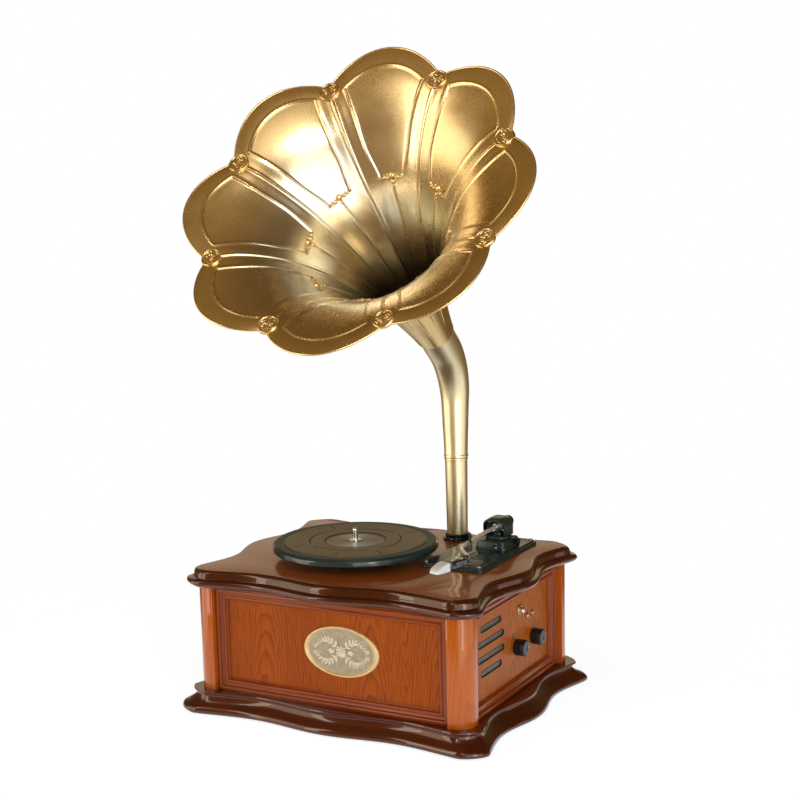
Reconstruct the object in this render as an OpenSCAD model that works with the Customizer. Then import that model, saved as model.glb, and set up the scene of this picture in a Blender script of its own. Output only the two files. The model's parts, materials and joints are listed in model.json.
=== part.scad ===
// Table-top horn gramophone: a serpentine-edged wooden cabinet with a
// belt-driven turntable, an S-shaped tonearm and an eight-petal brass horn
// on a swivelling elbow. Millimetres, +Z up, the front of the cabinet faces -Y,
// the origin is the centre of the footprint on the table.

/* [Cabinet] */
// Width of the cabinet body over its corner posts
body_w = 400; // [380:5:430]
// Depth of the cabinet body over its corner posts
body_d = 322; // [310:2:350]
// Height of the top surface above the table
deck_z = 194.5; // [188:0.5:205]
// Height of the top of the base moulding
base_z = 31; // [28:0.5:34]
// Height of the underside of the top board
under_z = 171; // [168:0.5:174]
// Side of a corner post
post = 29; // [27:0.5:31]
// Radius of the rounded outer edge of a corner post
post_r = 22; // [18:0.5:24]
// Width of the moulded frame round each panel
frame_w = 16; // [12:0.5:18]

/* [Turntable] */
// Platter centre, left-right
plat_x = -32.5; // [-37:0.5:-32]
// Platter centre, front-back
plat_y = -19; // [-22:0.5:-16]
// Platter radius
plat_r = 110.7; // [105:0.1:112]
// Radius of the belt ring under the platter
ring_r = 45; // [42:0.5:50]
// Radius of the motor pulley
pulley_r = 6; // [5:0.5:7]
// Distance from the platter axis to the motor shaft
motor_d = 75; // [72:1:80]

/* [Tonearm] */
// Tonearm pivot, left-right
arm_x = 128; // [127:0.5:129]
// Tonearm pivot, front-back
arm_y = 88; // [87:0.5:89]
// Height of the tonearm tilt axis
arm_z = 228; // [227.5:0.5:229]
// Radius of the tonearm tube
arm_r = 2.8; // [2.4:0.1:3]

/* [Horn] */
// Horn pipe axis, left-right
pipe_x = 48.5; // [47:0.5:49]
// Horn pipe axis, front-back
pipe_y = 124.5; // [124:0.5:126]
// Height of the slip joint between the pipe and the elbow
joint_z = 310; // [300:1:320]
// Turn of the horn mouth away from straight ahead, in degrees
horn_turn = 2.76; // [-10:0.01:10]
// Upward tilt of the horn axis, in degrees
horn_el = 39.8; // [36:0.1:44]
// Height at which the horn axis meets the pipe axis
cross_z = 436; // [430:1:445]
// Distance along the horn axis from that crossing to the notch circle
horn_len = 371; // [360:1:380]
// Radius of the petal tips
tip_r = 227; // [215:1:235]
// Radius of the notches between the petals
notch_r = 196; // [190:1:200]

/* [Hidden] */
$fn = 64;
hw = body_w/2;
hd = body_d/2;
ds = body_d/body_w;

// recess of the frames and panels behind the post faces
fr_in = 6;
pan_in = 15;
pan_t = 6;
// motor position, behind and to the left of the platter axis
mot_x = plat_x - motor_d*cos(45);
mot_y = plat_y + motor_d*sin(45);
mat_z = 216;

// ---- serpentine outline ------------------------------------------------
// reach of one side at distance a from its middle: a bow in the middle, a
// valley on each side of it and an ear at each corner
function reach(a, e, bow, val) = let (xv = 0.46*e)
  a < xv ? (bow+val)/2 + (bow-val)/2*cos(180*a/xv)
         : (e+val)/2 - (e-val)/2*cos(180*(a-xv)/(e-xv));
// the ear is rounded with radius c
function ear(p, e, c) = let (ax = abs(p[0]), ay = abs(p[1]), q = e-c)
  (ax > q && ay > q) ? let (d = sqrt(pow(ax-q,2)+pow(ay-q,2)))
     (d > c ? [sign(p[0])*(q+(ax-q)*c/d), sign(p[1])*(q+(ay-q)*c/d)] : p) : p;
function side_pt(k, s, y) = k == 0 ? [s,-y] : k == 1 ? [y,s] : k == 2 ? [-s,y] : [-y,-s];
function outline(o, e, bow, val, n) = [for (k = [0:3], i = [0:n-1])
  let (s = -(e+o) + 2*(e+o)*i/n,
       p = ear(side_pt(k, s, reach(abs(s), e+o, bow+o, val+o)), e+o, 48))
  [p[0]*hw/200, p[1]*ds*hw/200]];
// closed solid through a row of rings, and through a stack of outlines
module loft(rings, zs)
  capped([for (j = [0:len(rings)-1]) [for (p = rings[j]) [p[0], p[1], zs[j]]]]);
module capped(rings) {
  n = len(rings[0]); m = len(rings);
  pts = [for (r = rings) each r];
  faces = concat(
    [[for (i = [0:n-1]) i]],
    [[for (i = [n-1:-1:0]) (m-1)*n+i]],
    [for (j = [0:m-2], i = [0:n-1]) [j*n+i, (j+1)*n+i, (j+1)*n+(i+1)%n]],
    [for (j = [0:m-2], i = [0:n-1]) [j*n+i, (j+1)*n+(i+1)%n, j*n+(i+1)%n]]);
  polyhedron(points = pts, faces = faces, convexity = 6);
}

// ---- cabinet -----------------------------------------------------------
module base_plinth() color([0.24,0.09,0.06])
  loft([for (o = [-4,4,6.5,5,-3,-8,-10,-6]) outline(o, 222.6, 219.6, 206.2, 20)],
       [2,3,6.5,11,16,20,25,base_z]);
// felt sheet under the whole base
module felt_base() color([0.1,0.1,0.1])
  linear_extrude(2) polygon(outline(-7, 222.6, 219.6, 206.2, 12));

module post_shape(sx, sy) color([0.66,0.3,0.12]) translate([0,0,base_z]) {
    x0 = hw-post; y0 = hd-post;
    mx = sx < 0 ? 1 : 0; my = sy < 0 ? 1 : 0;
    mirror([mx,0,0]) mirror([0,my,0]) {
      translate([x0,y0,0]) cube([post, post-post_r, under_z-base_z]);
      translate([x0,y0,0]) cube([post-post_r, post, under_z-base_z]);
      intersection() {
        translate([hw-post_r,hd-post_r,0]) cylinder(r = post_r, h = under_z-base_z);
        translate([x0,y0,-1]) cube([post+1, post+1, under_z-base_z+2]);
      }
    }
  }
module post_front_left() post_shape(-1,-1);
module post_front_right() post_shape(1,-1);
module post_rear_left() post_shape(-1,1);
module post_rear_right() post_shape(1,1);

// a panel and its frame, drawn as the front one: half width w, face at -d
module panel_blank(w, d) translate([-w, -d+pan_in, base_z])
  cube([2*w, pan_t, under_z-base_z]);
module frame_blank(w, d) {
  h = under_z-base_z;
  for (k = [[0,0,fr_in],[5,0,fr_in+3],[11,0,fr_in+6]]) let (a = k[0])
    translate([0,-d+k[2],base_z]) difference() {
      translate([-w+a,0,a]) cube([2*(w-a), pan_in-k[2], h-2*a]);
      translate([-w+frame_w,-1,frame_w]) cube([2*(w-frame_w), pan_in, h-2*frame_w]);
    }
}
wood = [0.62,0.27,0.1];
module front_panel() color(wood) difference() {
  panel_blank(hw-post, hd);
  for (x = [-19,51]) translate([x,-hd+pan_in-1,104.5]) rotate([-90,0,0]) cylinder(r = 2, h = pan_t+2);
}
module rear_panel() color(wood) difference() {
  rotate([0,0,180]) panel_blank(hw-post, hd);
  translate([-110,hd-pan_in-pan_t-1,60]) cube([32,pan_t+2,24]);
  translate([60,hd-pan_in-pan_t-1,56]) cube([60,pan_t+2,34]);
  for (p = screw_pts) translate([p[0],hd-pan_in-pan_t-1,p[1]]) rotate([-90,0,0]) cylinder(r = 1.75, h = pan_t+2);
}
screw_pts = [for (x = [-145,0,145], z = [53,149]) [x,z]];
module side_blank(s) translate([s*(hw-pan_in)-(s > 0 ? pan_t : 0), -(hd-post), base_z])
  cube([pan_t, 2*(hd-post), under_z-base_z]);
// four sound slots in front of the side speaker, inside one circle
slot_y = -61.5;
slot_z = [138,118.5,99,80];
slot_l = [60,76,76,60];
module slots(s) for (i = [0:3]) let (l = slot_l[i]-7.4)
  translate([s*(hw-pan_in-pan_t/2),slot_y,slot_z[i]]) {
    cube([pan_t+2, l, 7.4], center = true);
    for (e = [-1,1]) translate([0,e*l/2,0]) rotate([0,90,0]) cylinder(r = 3.7, h = pan_t+2, center = true);
  }
knob_y = [12.5,67];
knob_z = 87.5;
btn = [27,133.5];
jacks = [[50.5,119.5],[66,119.5]];
module right_panel() color(wood) difference() {
  side_blank(1);
  slots(1);
  for (y = knob_y) translate([hw-pan_in-pan_t-1,y,knob_z]) rotate([0,90,0]) cylinder(r = 4.6, h = pan_t+2);
  translate([hw-pan_in-pan_t-1,btn[0],btn[1]]) rotate([0,90,0]) cylinder(r = 5.6, h = pan_t+2);
  for (j = jacks) translate([hw-pan_in-pan_t-1,j[0],j[1]]) rotate([0,90,0]) cylinder(r = 3.6, h = pan_t+2);
}
module left_panel() color(wood) difference() { side_blank(-1); slots(-1); }
module front_frame() color([0.5,0.2,0.11]) frame_blank(hw-post, hd);
module rear_frame() color([0.5,0.2,0.11]) rotate([0,0,180]) frame_blank(hw-post, hd);
module right_frame() color([0.5,0.2,0.11]) rotate([0,0,90]) frame_blank(hd-post, hw);
module left_frame() color([0.5,0.2,0.11]) rotate([0,0,-90]) frame_blank(hd-post, hw);
module rear_screws() color([0.75,0.6,0.3]) for (p = screw_pts)
  translate([p[0],hd-pan_in,p[1]]) rotate([90,0,0]) {
    translate([0,0,-1.6]) cylinder(r = 3.4, h = 1.6);
    cylinder(r = 1.65, h = pan_t+4);
  }

module top_board() color([0.55,0.36,0.2]) difference() {
  loft([for (o = [3,9,13.5,14.5,12.5,7,5.5,4,0]) outline(o, 204, 204, 186.4, 20)],
       [under_z,173.5,176,179,181.5,183.5,188,deck_z-3,deck_z]);
  translate([pipe_x,pipe_y,160]) cylinder(r = 14.7, h = 50);
  translate([plat_x,plat_y,160]) cylinder(r = 11, h = 50);
  translate([mot_x,mot_y,160]) cylinder(r = 9, h = 50);
}
// oval plaque on the front panel
module front_emblem() color([0.8,0.74,0.58]) translate([16,-hd+pan_in,104.5]) {
  rotate([90,0,0]) linear_extrude(2.6) polygon([for (i = [0:71]) [55.5*cos(5*i),34*sin(5*i)]]);
  rotate([90,0,0]) translate([0,0,2.6]) linear_extrude(1.2) difference() {
    polygon([for (i = [0:71]) [54.5*cos(5*i),33*sin(5*i)]]);
    polygon([for (i = [0:71]) [47*cos(5*i),26.5*sin(5*i)]]);
  }
  for (x = [-35,35]) translate([x,0,0]) rotate([-90,0,0]) cylinder(r = 1.9, h = pan_t);
}

// ---- sound and electrics -------------------------------------------------
spk_y = slot_y;
spk_z = 109;
module spk(s) translate([s*(hw-pan_in-pan_t-0.6),spk_y,spk_z]) rotate([0,-90*s,0]) children();
module speaker_frames() color([0.2,0.2,0.21]) for (s = [-1,1]) spk(s) {
  rotate_extrude() polygon([[41,0],[48,0],[48,2.5],[43,2.5],[25,20],[25,24],[32,24],[32,36],[8,36],[8,33],[14,33],[14,24],[20,24],[20,20],[22,18.5],[41,1.5]]);
}
module speaker_cones() color([0.12,0.11,0.1]) for (s = [-1,1]) spk(s)
  rotate_extrude() polygon([[0,9],[7,11],[12,17],[40.8,0.3],[40.8,1.2],[13,18.2],[13,29],[12,29],[12,18.5],[6,12.2],[0,10.2]]);
module grille_cloths() color([0.3,0.27,0.2]) for (s = [-1,1]) translate([s*(hw-pan_in-pan_t-0.3),spk_y,spk_z])
  cube([0.5,100,90], center = true);
module amplifier_board() color([0.1,0.32,0.16]) {
  translate([60,-70,base_z+9]) cube([90,120,1.6]);
  for (x = [66,144], y = [-64,44]) translate([x,y,base_z]) cylinder(r = 3, h = 9);
  for (i = [0:3]) translate([75+17*i,-30,base_z+10.6]) cylinder(r = 5, h = 14);
  translate([80,5,base_z+10.6]) cube([50,10,26]);
}
module power_transformer() color([0.35,0.3,0.2]) translate([-130,60,base_z]) {
  cube([54,44,4]);
  translate([6,4,4]) cube([42,36,34]);
  translate([12,-2,10]) cube([30,48,22]);
}
module power_inlet() color([0.06,0.06,0.06]) translate([-94,hd-pan_in,72]) rotate([-90,0,0]) difference() {
  union() {
    translate([-19,-15,0]) cube([38,30,2]);
    translate([-15.8,-11.8,-20]) cube([31.6,23.6,20]);
  }
  translate([-11,-6,-14]) cube([22,12,20]);
}
module output_jacks() color([0.15,0.15,0.16]) translate([90,hd-pan_in,73]) rotate([-90,0,0]) difference() {
  union() {
    translate([-34,-21,0]) cube([68,42,1.6]);
    translate([-29.8,-16.8,-12]) cube([59.6,33.6,12]);
    for (x = [-18,0,18]) translate([x,0,1.6]) cylinder(r = 5, h = 7);
  }
  for (x = [-18,0,18]) translate([x,0,-6]) cylinder(r = 3.4, h = 20);
}
// a knob turns with its shaft; the control behind it is fixed
module knob() rotate([0,90,0]) {
  rotate_extrude() polygon([[0,1],[9.6,1],[10.8,2],[10.8,12.2],[10.4,12.2],[10.4,13.3],[10.8,13.3],[10.8,14.2],[9.8,15.6],[3,15.6],[2.6,15],[0,15]]);
  translate([0,0,-17]) cylinder(r = 3, h = 18.5);
}
module pot() rotate([0,90,0]) difference() {
  union() { translate([0,0,-22]) cylinder(r = 8.5, h = 15.6); translate([0,0,-6.4]) cylinder(r = 4.5, h = 7); }
  translate([0,0,-18]) cylinder(r = 3.04, h = 30);
}
module volume_knob() color([0.05,0.06,0.06]) translate([hw-pan_in,knob_y[0],knob_z]) knob();
module tuning_knob() color([0.05,0.06,0.06]) translate([hw-pan_in,knob_y[1],knob_z]) knob();
module volume_pot() color([0.45,0.45,0.47]) translate([hw-pan_in,knob_y[0],knob_z]) pot();
module tuning_pot() color([0.45,0.45,0.47]) translate([hw-pan_in,knob_y[1],knob_z]) pot();
module button_bezel() color([0.6,0.52,0.42]) translate([hw-pan_in,btn[0],btn[1]]) rotate([0,90,0]) difference() {
  union() { cylinder(r = 7.4, h = 1.8); translate([0,0,-16]) cylinder(r = 5.5, h = 16); }
  translate([0,0,-12]) cylinder(r = 4.26, h = 20);
}
module power_button() color([0.85,0.84,0.82]) translate([hw-pan_in,btn[0],btn[1]]) rotate([0,90,0]) {
  translate([0,0,-9]) cylinder(r = 4.2, h = 14.6);
  translate([0,0,5.6]) cylinder(r1 = 4.2, r2 = 3, h = 1.2);
}
module side_jacks() color([0.66,0.5,0.28]) for (j = jacks) translate([hw-pan_in,j[0],j[1]]) rotate([0,90,0]) difference() {
  union() { cylinder(r = 4.9, h = 1.8, $fn = 6); translate([0,0,-14]) cylinder(r = 3.5, h = 16.6); }
  translate([0,0,-10]) cylinder(r = 1.8, h = 20);
}

// ---- turntable -----------------------------------------------------------
module platter() color([0.07,0.08,0.08]) translate([plat_x,plat_y,0]) rotate_extrude($fn = 128)
  polygon([[4.02,198],[12,198],[12,213],[ring_r-3,213],[ring_r-3,199],[ring_r,199],[ring_r,213],
           [plat_r-4,213],[plat_r-4,206.5],[plat_r-1.2,206.5],[plat_r,207.7],[plat_r,214.2],
           [plat_r-3.4,217.2],[95.2,217.2],[95.2,mat_z],[4.02,mat_z]]);
module platter_mat() color([0.16,0.15,0.11]) translate([plat_x,plat_y,0]) rotate_extrude($fn = 128)
  polygon([[4.1,mat_z],[94.9,mat_z],[94.9,217.5],[94.4,217.8],[62,217.8],[61.6,217.3],[60.4,217.3],[60,217.8],
           [40.6,217.8],[40,216.9],[4.1,216.9]]);
module spindle() color([0.8,0.8,0.8]) translate([plat_x,plat_y,0]) {
  translate([0,0,174]) cylinder(r = 4, h = 43.4);
  translate([0,0,217.4]) cylinder(r = 3.55, h = 14.5);
  translate([0,0,231.9]) cylinder(r1 = 3.55, r2 = 1.6, h = 2);
}
module platter_bearing() color([0.7,0.55,0.25]) translate([plat_x,plat_y,0]) difference() {
  union() {
    translate([0,0,170]) cylinder(r = 10.9, h = deck_z-170);
    translate([0,0,deck_z]) cylinder(r = 16, h = 2);
  }
  translate([0,0,173.5]) cylinder(r = 4.03, h = 40);
}
// flat belt round the ring and the pulley, by their common tangents
module belt_2d(a, b, d) {
  t = acos((a-b)/d);
  polygon(concat([for (i = [0:30]) let (q = t+(360-2*t)*i/30) [a*cos(q),a*sin(q)]],
                 [for (i = [0:10]) let (q = -t+2*t*i/10) [d+b*cos(q),b*sin(q)]]));
}
module drive_belt() color([0.03,0.03,0.03]) translate([plat_x,plat_y,201]) rotate([0,0,135])
  linear_extrude(4) difference() {
    belt_2d(ring_r+1.2, pulley_r+1.2, motor_d);
    belt_2d(ring_r+0.35, pulley_r+0.35, motor_d);
  }
module motor() color([0.6,0.6,0.62]) translate([mot_x,mot_y,0]) difference() {
  union() {
    translate([0,0,146]) cylinder(r = 16, h = 23);
    translate([-25,-8,169]) cube([50,16,2]);
    translate([0,0,171]) cylinder(r = 4, h = 5);
  }
  translate([0,0,150]) cylinder(r = 1.54, h = 40);
}
module motor_pulley() color([0.78,0.66,0.35]) translate([mot_x,mot_y,0]) {
  translate([0,0,151]) cylinder(r = 1.5, h = 50);
  translate([0,0,199.4]) cylinder(r = pulley_r+1, h = 1);
  translate([0,0,200.4]) cylinder(r = pulley_r, h = 5.2);
  translate([0,0,205.6]) cylinder(r = pulley_r+1, h = 1);
}

// ---- tonearm -------------------------------------------------------------
plate_pts = [[78,-28],[154,-28],[154,134],[78,134]];
module tonearm_plate() color([0.09,0.11,0.1]) difference() {
  union() {
    translate([72,-29,deck_z]) cube([90,163,6]);
    translate([80,-37,deck_z]) cube([74,179,6]);
    for (p = [[80,-29],[154,-29],[154,134],[80,134]]) translate([p[0],p[1],deck_z]) cylinder(r = 8, h = 6);
  }
  for (p = plate_pts) translate([p[0],p[1],deck_z-1]) cylinder(r = 1.75, h = 8);
}
module plate_screws() color([0.5,0.5,0.5]) for (p = plate_pts) translate([p[0],p[1],deck_z]) {
  cylinder(r = 1.65, h = 6);
  translate([0,0,6]) cylinder(r = 3.2, h = 1.3);
}
hz = deck_z+6;
spd = [140,206.5];
cue = [98,206.5];
module pivot_housing() color([0.1,0.12,0.12]) difference() {
  union() {
    translate([106,62,hz]) cube([44,50,11.5]);
    translate([110,58,hz]) cube([36,54,11.5]);
    for (x = [110,146]) translate([x,62,hz]) cylinder(r = 4, h = 11.5);
  }
  translate([arm_x,arm_y,hz+0.5]) cylinder(r = 6.03, h = 20);
  translate([spd[0],50,spd[1]]) rotate([-90,0,0]) cylinder(r = 2.03, h = 20);
  translate([140,cue[0],cue[1]]) rotate([0,90,0]) cylinder(r = 2.03, h = 20);
}
module speed_knob() color([0.12,0.14,0.14]) translate([spd[0],57.6,spd[1]]) rotate([90,0,0]) {
  rotate_extrude() polygon([[0,0],[5.6,0],[5.6,3.6],[4.8,4.4],[3.4,4.4],[3,3.6],[0,3.6]]);
  translate([0,0,-11]) cylinder(r = 2, h = 12);
  translate([0,0,3]) cylinder(r = 1, h = 1.8);
}
// the yoke turns on the vertical pivot and carries the tilt pins
module arch_2d(w, h, r) {
  translate([-w,0]) square([2*w, h-r]);
  translate([-w+r,0]) square([2*(w-r), h]);
  for (s = [-1,1]) translate([s*(w-r),h-r]) circle(r = r);
}
module tonearm_yoke() color([0.13,0.15,0.14]) translate([arm_x,arm_y,0]) difference() {
  union() {
    translate([0,0,hz+1]) cylinder(r = 6, h = 12);
    translate([0,0,212.5]) cylinder(r = 17.5, h = 3.5);
    translate([0,12,215.5]) rotate([90,0,0]) linear_extrude(24) difference() {
      arch_2d(16, 25, 9);
      arch_2d(13.2, 22, 6);
    }
  }
  translate([0,0,arm_z]) rotate([0,90,0]) cylinder(r = 2.03, h = 60, center = true);
}
module gimbal_block() color([0.3,0.31,0.3]) translate([arm_x,arm_y,arm_z]) difference() {
  union() {
    translate([-8.5,-7,-5]) cube([17,14,10]);
    rotate([0,90,0]) cylinder(r = 2, h = 32.4, center = true);
  }
  rotate([90,0,0]) cylinder(r = 2.6, h = 40, center = true);
}
// the arm runs straight to the front, then bends out to the headshell
ap = [[134.4,-31],[136.2,-58],[165.5,-71],[163,-84]];
aq = [[arm_x,66],[arm_x,30],[132.4,-1],[134.4,-31]];
function bend(p, t) = p[0]*pow(1-t,3) + p[1]*3*t*pow(1-t,2) + p[2]*3*t*t*(1-t) + p[3]*pow(t,3);
function bend_dir(p, t) = let (v = (p[1]-p[0])*pow(1-t,2) + (p[2]-p[1])*2*t*(1-t) + (p[3]-p[2])*t*t) v/norm(v);
// a ring of the tube round point p, seen along direction d
function tube_ring(p, z, d, r) = [for (k = [0:15]) let (b = 22.5*k)
  [p[0]+r*sin(b)*d[1], p[1]-r*sin(b)*d[0], z+r*cos(b)]];
module rod(a, b, r) let (v = b-a, l = norm(v)) translate(a)
  rotate([0, acos(v[2]/l), atan2(v[1],v[0])]) cylinder(r = r, h = l);
module arm_tube() color([0.78,0.74,0.6]) capped(concat(
  [tube_ring([arm_x,arm_y+36], arm_z, [0,-1], 2.5), tube_ring([arm_x,arm_y-7.2], arm_z, [0,-1], 2.5),
   tube_ring([arm_x,arm_y-7.6], arm_z, [0,-1], arm_r)],
  [for (i = [0:7]) tube_ring(bend(aq, i/8), arm_z-0.1-0.7*i/8, bend_dir(aq, i/8), arm_r)],
  [for (i = [0:12]) tube_ring(bend(ap, i/12), arm_z-0.8-0.4*i/12, bend_dir(ap, i/12), arm_r)]));
module counterweight() color([0.1,0.11,0.11]) translate([arm_x,arm_y+14,arm_z]) rotate([-90,0,0]) difference() {
  union() { cylinder(r = 7.6, h = 20); translate([0,0,2]) cylinder(r = 7.9, h = 3); }
  translate([0,0,-1]) cylinder(r = 2.6, h = 24);
}
// headshell, turned inwards by the offset angle
module at_shell() translate([163,-84,-1.2]) rotate([0,0,-17]) children();
module headshell() color([0.08,0.1,0.16]) at_shell() difference() {
  union() {
    translate([-8.5,-36,225.2]) cube([17,32,5.6]);
    translate([-5,-5,225.2]) cube([10,5,5.6]);
    translate([8.4,-34,227]) cube([9,5,1.6]);
  }
  translate([-6.5,-34,224]) cube([13,24,3.2]);
  translate([0,1,arm_z]) rotate([90,0,0]) cylinder(r = 2.9, h = 4);
}
module cartridge() color([0.06,0.07,0.1]) at_shell() {
  translate([-6.3,-33.5,220.6]) cube([12.6,23,6.6]);
  translate([-4,-38.5,220.8]) cube([8,5,4]);
  translate([0,-42,219.9]) cylinder(r1 = 0.3, r2 = 0.8, h = 1.6);
  translate([-0.6,-43,221.4]) cube([1.2,5,1]);
}
module stylus_guard() color([0.88,0.87,0.95]) at_shell() difference() {
  rotate([90,0,90]) translate([0,0,-8]) linear_extrude(16)
    polygon([[-36.3,219.5],[-36.3,230.6],[-42,230.2],[-56,225.5],[-59,222.4],[-58,219.5]]);
  translate([-6.2,-52,218]) cube([12.4,20,8]);
}
rest_x = 134.2;
rest_y = -28;
latch_z = 231.8;
module arm_rest() color([0.5,0.53,0.45]) translate([rest_x,rest_y,0]) difference() {
  union() {
    translate([0,0,hz]) cylinder(r = 7, h = 2);
    translate([0,0,hz+2]) cylinder(r = 3.6, h = 18.5);
    for (z = [6,11,16]) translate([0,0,hz+z]) cylinder(r = 5, h = 2);
    translate([-5,-4,220.7]) cube([14,8,3.4]);
    translate([6,-4,220.7]) cube([3,8,13.2]);
  }
  translate([7.5,0,latch_z]) rotate([90,0,0]) cylinder(r = 0.82, h = 20, center = true);
  translate([5,-2.2,latch_z-2.2]) cube([5,4.4,8]);
}
module rest_latch() color([0.12,0.13,0.13]) translate([rest_x+7.5,rest_y,latch_z]) {
  rotate([90,0,0]) cylinder(r = 0.8, h = 7.6, center = true);
  rotate([90,0,0]) cylinder(r = 1.3, h = 3.8, center = true);
  translate([-0.9,-1.9,0]) cube([1.8,3.8,13]);
  translate([-3.6,-1.9,11.4]) cube([3,3.8,1.6]);
}
module cue_lever() color([0.12,0.13,0.13]) translate([0,cue[0],cue[1]]) {
  translate([141,0,0]) rotate([0,90,0]) cylinder(r = 2, h = 10);
  translate([150.5,0,0]) rotate([0,90,0]) cylinder(r = 4.6, h = 3.4);
  rod([152.2,0,0], [152.2,-19,9], 1.5);
  translate([152.2,-19,9]) sphere(r = 2.6);
}

// ---- horn ----------------------------------------------------------------
module tube_flange() color([0.12,0.14,0.1]) translate([pipe_x,pipe_y,0]) difference() {
  union() {
    translate([0,0,deck_z]) cylinder(r = 20, h = 3);
    translate([0,0,deck_z]) cylinder(r = 16.8, h = 9);
  }
  translate([0,0,deck_z-1]) cylinder(r = 14.7, h = 20);
  for (a = [30,150,270]) rotate([0,0,a]) translate([18.4,0,deck_z-1]) cylinder(r = 0.85, h = 8);
}
module flange_screws() color([0.6,0.6,0.6]) translate([pipe_x,pipe_y,0]) for (a = [30,150,270])
  rotate([0,0,a]) translate([18.4,0,deck_z]) { cylinder(r = 0.8, h = 3); translate([0,0,3]) cylinder(r = 1.4, h = 1); }
module horn_pipe() color([0.72,0.55,0.26]) translate([pipe_x,pipe_y,0]) difference() {
  union() {
    translate([0,0,171]) cylinder(r = 14.5, h = 38);
    translate([0,0,209]) cylinder(r1 = 14.5, r2 = 15.6, h = joint_z-209);
    translate([0,0,joint_z]) cylinder(r = 13.4, h = 26);
  }
  translate([0,0,165]) cylinder(r = 12, h = 200);
}
module swivel_sleeve() color([0.72,0.55,0.26]) translate([pipe_x,pipe_y,0]) difference() {
  union() {
    translate([0,0,joint_z+0.3]) cylinder(r = 17, h = 3);
    translate([0,0,joint_z+0.3]) cylinder(r1 = 15.9, r2 = 17, h = 35);
  }
  translate([0,0,joint_z-1]) cylinder(r = 13.45, h = 28);
  translate([0,0,joint_z+26.5]) cylinder(r = 14.6, h = 20);
}
// local frame of the horn: x along the horn, z up, at the pipe axis
module at_horn() translate([pipe_x,pipe_y,0]) rotate([0,0,-90+horn_turn]) children();
turn = 90-horn_el;
bend_r = 100;
tan_l = bend_r*tan(turn/2);
arc_z = cross_z-tan_l;
z_el = joint_z+35.3;
// centre line of the elbow: [x, z, direction angle from vertical, radius]
el_n = 9;
function el_pt(i) = i == 0 ? [0, z_el, 0, 17.05] : i <= el_n
  ? let (a = turn*(i-1)/(el_n-1)) [bend_r*(1-cos(a)), arc_z+bend_r*sin(a), a, 18.9+5.1*pow((i-1)/(el_n-1),0.8)]
  : let (l = tan_l+(i-el_n)*20) [l*cos(horn_el), cross_z+l*sin(horn_el), turn, 24.2];
function ring_pts(c, r, n) = [for (k = [0:n-1]) let (b = 360*k/n)
  [c[0]+r*cos(b)*cos(c[2]), r*sin(b), c[1]-r*cos(b)*sin(c[2])]];
// closed tube through rings given outside first, then back along the inside
module tube_loft(rings) {
  n = len(rings[0]); m = len(rings);
  pts = [for (r = rings) each r];
  faces = concat(
    [for (j = [0:m-1], i = [0:n-1]) [j*n+i, j*n+(i+1)%n, ((j+1)%m)*n+(i+1)%n]],
    [for (j = [0:m-1], i = [0:n-1]) [j*n+i, ((j+1)%m)*n+(i+1)%n, ((j+1)%m)*n+i]]);
  polyhedron(points = pts, faces = faces, convexity = 8);
}
module horn_elbow() color([0.74,0.57,0.28]) at_horn()
  tube_loft(concat(
    [for (i = [0:el_n+3]) ring_pts(el_pt(i), el_pt(i)[3], 40)],
    [for (i = [el_n+3:-1:0]) ring_pts(el_pt(i), el_pt(i)[3]-1.6, 40)]));
// flare of the horn: radius at depth t behind the notch circle
function flare(t) = 8 + 155*exp(-t/132) + 30*exp(-t/15);
function lobe(k, n) = pow(abs(sin(180*((k*8/n)%1))), 0.92);
bt = [288,262,236,210,184,160,138,118,100,82,64,48,33,20];
// one ring: depth t and radius r for each direction k of n
function bell_ring(i, n, w) = [for (k = [0:n-1])
  let (g = lobe(k, n), m = len(bt), u = i < m ? 0 : (i-m+1)/4,
       t = i < m ? bt[i] : 20*(1-u)+1.8*u - (12.3*g)*pow(u,1.3),
       r0 = i < m ? max(flare(t), 24.5) : flare(20)*(1-u)+notch_r*u + (tip_r-notch_r)*g*pow(u,1.15) + 6*sin(180*u)*(1-0.4*g),
       s = i < m && i > m-5 ? 1.5*(i-m+5)/4*(g-0.5) : 0,
       a = lobe_0 + 360*k/n, r = r0+s-w)
  let (y = r*cos(a), v = r*sin(a), x = horn_len-t+0.6*w*min(1,i/m))
  [x*cos(horn_el)-v*sin(horn_el), y, cross_z+x*sin(horn_el)+v*cos(horn_el)]];
// direction of the first notch round the rim
lobe_0 = 27.13;
module horn_bell() color([0.8,0.62,0.32]) at_horn()
  tube_loft(concat(
    [for (i = [0:17]) bell_ring(i, 64, 0)],
    [for (i = [17:-1:0]) bell_ring(i, 64, 1)]));
// compression driver on a sound box that the pipe opens into
module horn_driver() color([0.25,0.25,0.26]) difference() {
  union() {
    translate([pipe_x-24,pipe_y-42,150]) cube([48,56.5,21]);
    translate([pipe_x,pipe_y-19,126]) cylinder(r = 22, h = 24);
    translate([pipe_x,pipe_y-19,116]) cylinder(r = 17, h = 10);
  }
  translate([pipe_x,pipe_y,164]) cylinder(r = 14.2, h = 20);
  translate([pipe_x-10,pipe_y-38,153]) cube([20,44,12]);
}

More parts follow.
